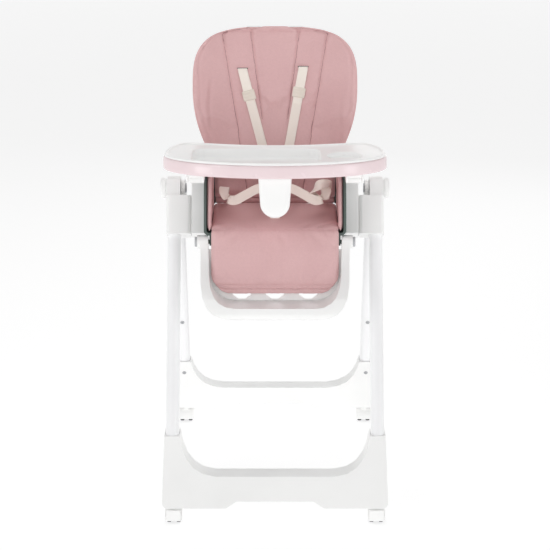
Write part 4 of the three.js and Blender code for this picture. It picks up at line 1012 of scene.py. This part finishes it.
BAND = ((16, 0.0), (5, 0.0), (2.4, 0.5), (0.9, 1.8), (0.2, 3.8), (0, 7), (0, 14), (0.1, 19), (0.5, 23),
        (1.3, 26), (2.6, 28.1), (4.4, 29), (7, 29), (8.5, 28.4), (9.2, 27), (9.4, 4.5), (10.5, 3.2),
        (14, 3))
band = rings([lift(tray_outline(inset), TRAY_Z + z) for inset, z in BAND])
piece("tray_base", *band, "tray", "pink_plastic", replaces=("tray_base",), sharp=50)
RAIL_X0, RAIL_X1, RAIL_FRONT, RAIL_BACK = 156.9, 196.7, -212, -62
RAIL_LOW, RAIL_TOP = 749, TRAY_Z + 1
STEM_Y, STEM_Z, STEM_ROOM, OVERLAP, WALL = -106, 759, 3.6, 0.8, 4
rails = []
for sign in (-1, 1):
    rails.append(box_rings(sign, RAIL_X0, RAIL_X0 + WALL, RAIL_FRONT, RAIL_BACK, RAIL_LOW,
                           RAIL_TOP, 1.6))
    # The outer wall leaves a window for the stem of the release.
    low_y, high_y = STEM_Y - STEM_ROOM, STEM_Y + STEM_ROOM
    for y0, y1, z0, z1 in ((RAIL_FRONT, low_y, RAIL_LOW, RAIL_TOP),
                           (high_y, RAIL_BACK, RAIL_LOW, RAIL_TOP),
                           (low_y - OVERLAP, high_y + OVERLAP, RAIL_LOW, STEM_Z - STEM_ROOM),
                           (low_y - OVERLAP, high_y + OVERLAP, STEM_Z + STEM_ROOM, RAIL_TOP)):
        rails.append(box_rings(sign, RAIL_X1 - WALL, RAIL_X1, y0, y1, z0, z1, 1.2, 0.6))
    rails.append(box_rings(sign, RAIL_X0 + 2, RAIL_X1 - 4.2, RAIL_FRONT + 1, RAIL_BACK - 1,
                           760.7, RAIL_TOP, 1.6))
piece("tray_rails", *merged(*rails), "tray", "white_plastic", sharp=50)


def in_loop(x, y, loop):
    inside = False
    for (ax, ay), (bx, by) in zip(loop, loop[1:] + loop[:1]):
        if (ay > y) != (by > y) and x < (bx - ax) * (y - ay) / (by - ay) + ax:
            inside = not inside
    return inside


def plate(outer, holes, z):
    """A flat face with holes, as triangles on its own rim points."""
    loops = [outer] + holes
    edges, start = [], 0
    for loop in loops:
        edges += [(start + k, start + (k + 1) % len(loop)) for k in range(len(loop))]
        start += len(loop)
    rims = [Vector(p) for loop in loops for p in loop]
    points, _, triangles, *_ = delaunay_2d_cdt(rims, edges, [], 0, 1e-6)
    faces = []
    for tri in triangles:
        x, y = (sum(points[k][axis] for k in tri) / 3 for axis in (0, 1))
        if in_loop(x, y, outer) and not any(in_loop(x, y, hole) for hole in holes):
            faces.append(tuple(tri))
    return [(p.x, p.y, z) for p in points], faces


def dish(outline, steps):
    """Walls that roll over an edge down to a floor. Steps are (inset, height over the sheet)."""
    loops = [lift(outline(inset), SHEET_Z + z) for inset, z in steps]
    points, faces = rings(loops, "open")
    faces.append(tuple(range(len(points) - len(loops[-1]), len(points))))
    return points, faces


WELL, WELL_ROUND = (-184, 102, -214, -82), 26
CUP_X, CUP_Y, CUP_R = 156, -158, 38


def well_outline(inset):
    x0, x1, y0, y1 = WELL
    return rounded_rect(x0 + inset, x1 - inset, y0 + inset, y1 - inset, WELL_ROUND - inset, 12)


def cup_outline(inset):
    return [(CUP_X + (CUP_R - inset) * c, CUP_Y + (CUP_R - inset) * s) for c, s in circle(72)]


SHEET_DROP, SHEET_THICK = -0.4, 2.4
# The insert's rolled edge, food well and cup recess, as (inset, height over the sheet).
ROLLED = ((15, SHEET_DROP), (12.5, -0.3), (10.5, 0.5), (9, 1.7), (7.4, 2.4), (5.6, 2.4), (4.2, 1.6),
          (3.4, 0.2), (3.1, -1.6), (3.2, -3.2))
WELL_WALL = ((-3.5, SHEET_DROP), (-1.6, -0.8), (-0.2, -2.2), (0.6, -4.6), (2.4, -15), (3.2, -18),
             (5.2, -20.2), (8.4, -21))
CUP_WALL = ((-3, SHEET_DROP), (-1.4, -0.8), (-0.3, -2), (0.2, -4), (0.8, -7.4), (2.2, -9.4), (4.6, -10))
holes = [well_outline(WELL_WALL[0][0]), cup_outline(CUP_WALL[0][0])]
sheet = merged(plate(tray_outline(ROLLED[0][0]), holes, SHEET_Z + SHEET_DROP),
               rings([lift(tray_outline(inset), SHEET_Z + z) for inset, z in ROLLED], "open"),
               dish(well_outline, WELL_WALL), dish(cup_outline, CUP_WALL))
insert = piece("tray_insert", *sheet, "tray_insert", "white_plastic",
               replaces=("tray_insert",), sharp=180)


def join_sheet(work):
    """One skin that faces up, without the doubled points where its parts meet."""
    bmesh.ops.remove_doubles(work, verts=work.verts, dist=2e-5)
    face_outwards(work)
    if sum(f.normal.z * f.calc_area() for f in work.faces) < 0:
        bmesh.ops.reverse_faces(work, faces=work.faces)
    for f in work.faces:
        f.smooth = True


edit(insert.data, join_sheet)
modify(insert, "sheet", "SOLIDIFY", thickness=SHEET_THICK * MM, offset=-1)
modify(insert, "even", "WEIGHTED_NORMAL", keep_sharp=True)

# Crotch post: flat front that rounds over into its sides and its lower end.
# Crotch post: flat front that rounds over into its sides and its lower end.
POST_TOP, POST_LOW, POST_FRONT, POST_HALF, POST_END = 767.7, 677, -247, 37, 33
POST_ROLL = ((10, 0.0), (6, 0.5), (3.2, 1.7), (1.2, 3.6), (0.3, 6), (0, 9), (0, 14), (0.8, 17.6),
             (2.4, 19.4), (4.5, 20))


def post_outline(inset):
    half, end = POST_HALF - inset, POST_END - inset
    centre = POST_LOW + POST_END
    shoulder, shoulder_z = lerp(half, end, 0.5), lerp(POST_TOP, centre, 0.5)
    loop = [(-half, POST_TOP), (-shoulder, shoulder_z)]
    loop += [(end * math.cos(a), centre + end * math.sin(a))
             for a in np.linspace(math.pi, 2 * math.pi, 41)]
    return loop + [(shoulder, shoulder_z), (half, POST_TOP)]


post = rings([[(x, POST_FRONT + deep, z) for x, z in post_outline(inset)] for inset, deep in POST_ROLL])
piece("crotch_post", *post, "tray", "white_plastic", replaces=("crotch_post",), sharp=60)

# ------ castors, knobs, screws
# Profiles are (radius, along the axis), from one end of the axis to the other.
CASTOR_X, CASTOR_Y, TRAIL, WHEEL_R = 227, 332, 10, 17
WHEEL = ((0, 4.9), (3.1, 4.9), (3.1, 5.6), (6.2, 5.6), (6.8, 5.1), (12.2, 5.1), (12.8, 5.5), (15.4, 5.6),
         (16.4, 6.2), (17, 7.6), (17, 13.2), (16.4, 14.6), (15.4, 15.2), (12.8, 15.3), (12.2, 14.7),
         (8, 14.5), (7, 15.3), (4.6, 15.4), (3.1, 15.4), (3.1, 18.5), (0, 18.5))
AXLE = ((0, -5), (3.05, -5), (3.05, 5), (0, 5))
for end, y_sign in (("front", -1), ("rear", 1)):
    for side, sign in SIDES:
        place = (sign * CASTOR_X, y_sign * (CASTOR_Y + TRAIL), WHEEL_R)
        halves = [lathe([(r, w * flip) for r, w in WHEEL], place, 40) for flip in (1, -1)]
        name = f"castor_wheels_{end}_{side}"
        wheels = merged(*halves, lathe(AXLE, place, 20))
        piece(name, *wheels, name, "tyre", replaces=(name,), sharp=35)

PIVOT_Z, JOINT_X, RIDGE_R, RIDGE_HALF = 690, 248, 22.6, 0.8
KNOB = ((0, 13.6), (8, 13.7), (12.5, 14.4), (15.5, 16.2), (18, 16.9), (20.2, 16.6), (22, 15.2),
        (22.9, 13), (23, 11), (23, 6.4), (22.6, 5.4), (21.4, 5), (21.2, 5.6), (21.2, 12.6), (0, 12.9))
RIDGE = ((6.6, 0.5), (8, 0.95), (12, 0.95), (13.4, 0.4))
for side, sign in SIDES:
    cap = lathe([(r, sign * (JOINT_X + w)) for r, w in KNOB], (0, 0, PIVOT_Z), 56)
    ridges = [rings([[(sign * (JOINT_X + w), (RIDGE_R + r * c) * cos - RIDGE_HALF * s * sin,
                       PIVOT_Z + (RIDGE_R + r * c) * sin + RIDGE_HALF * s * cos) for c, s in circle(6)]
                     for w, r in RIDGE]) for cos, sin in circle(28)]
    name = f"fold_knob_{side}"
    piece(name, *merged(cap, *ridges), name, "white_plastic", replaces=(name,), sharp=45)

SCREW = ((0.02, 2.3), (1.1, 2.25), (1.2, 1.1), (2.0, 1.1), (2.1, 2.05), (3.6, 1.7), (4.7, 0.9), (5.1, 0.1),
         (5.1, -0.6), (0.02, -0.6))
LEG_LEAN = math.radians(26)
DOWN_LEG = Vector((0, math.sin(LEG_LEAN), -math.cos(LEG_LEAN)))
LEG_FACE = Vector((0, -math.cos(LEG_LEAN), -math.sin(LEG_LEAN)))
LEG_X, LEG_TOP_Y, LEG_TOP_Z = 228, 22.47, 700.96
SCREW_UP = LEG_FACE.cross(RIGHT).normalized()
for side, sign in SIDES:
    # The upper screw stands on the tube, the lower one on the socket round it.
    for label, along, proud in (("upper", 429, 20), ("lower", 598, 23)):
        place = Vector((sign * LEG_X, LEG_TOP_Y, LEG_TOP_Z)) + DOWN_LEG * along + LEG_FACE * proud
        loops = [[tuple(place + LEG_FACE * w + (RIGHT * c + SCREW_UP * s) * r) for c, s in circle(20)]
                 for r, w in SCREW]
        piece(f"rear_screw_{label}_{side}", *rings(loops), "rear_frame", "steel", sharp=35)

# ------ carried-over CAD pieces: finish and softened edges
# Width of the rounding, and how the names of the nodes that take it begin. Leg tubes take none.
EDGES = {0.6: ("castor_brake", "fold_pin", "recline_pin"), 0.9: ("footrest_panel",),
         1.0: ("backrest_shell",), 1.2: ("castor_hood", "slider_housing", "seat_shell"),
         1.4: ("height_trigger", "leg_rest_button", "tray_release"),
         1.6: ("rear_leg_cap", "recline_handle"), 1.8: ("buckle",), 2.4: ("top_joint",),
         2.6: ("front_base", "rear_base"), 3.0: ("footrest_frame",), 4.0: ("armrest",)}
slots = {row["node"]: row["material_slot"] for row in frame["record"]["subparts"]}
for node, shown in frame["nodes"].items():
    if shown.hide_render:
        continue
    mesh = shown.data
    mesh.materials.clear()
    mesh.materials.append(MATERIALS[slots[node]])
    for polygon in mesh.polygons:
        polygon.use_smooth = True
    if "custom_normal" in mesh.attributes:
        mesh.attributes.remove(mesh.attributes["custom_normal"])
    if node.startswith(("front_leg", "rear_leg_left", "rear_leg_right")):
        modify(shown, "crisp", "EDGE_SPLIT", split_angle=math.radians(50))
        continue
    width = next(w for w, starts in EDGES.items() if node.startswith(starts))
    modify(shown, "weld", "WELD", merge_threshold=2e-6)
    modify(shown, "flat", "DECIMATE", decimate_type="DISSOLVE", angle_limit=math.radians(0.6))
    modify(shown, "edges", "BEVEL", width=width * MM, segments=3 if width > 1 else 2,
           limit_method="ANGLE", angle_limit=math.radians(38), use_clamp_overlap=True)
    modify(shown, "even", "WEIGHTED_NORMAL", keep_sharp=True)


# ------ floor and wall
def glowing(name, points, faces, rough, patches, dark, light, glow):
    """A white studio surface that sends out light of its own."""
    made = new_object(name, points, faces)
    m = Nodes(name, rough, Specular_IOR_Level=0.0, Emission_Color=(1, 1, 1, 1), Emission_Strength=glow)
    m.colour(m.noise(patches, 2), (dark, dark, dark, 1), (light, light, light, 1))
    made.data.materials.append(m.mat)
    return made


FLOOR_HALF, WALL_R, WALL_LOW, WALL_TOP, WALL_SIDES = 14000, 13000, -100, 8000, 48
corners = [(x * FLOOR_HALF, y * FLOOR_HALF, 0) for x, y in ((-1, -1), (1, -1), (1, 1), (-1, 1))]
floor = glowing("floor", corners, [(0, 1, 2, 3)], 0.6, 0.4, 0.36, 0.38, 0.76)
# A round white wall far behind everything, so that level views end in white as well.
ring = [(WALL_R * c, WALL_R * s) for c, s in circle(WALL_SIDES)]
band = rings([lift(ring, z) for z in (WALL_LOW, WALL_TOP)], "open")
wall = glowing("wall", *band, 1.0, 0.5, 0.02, 0.03, 0.96)
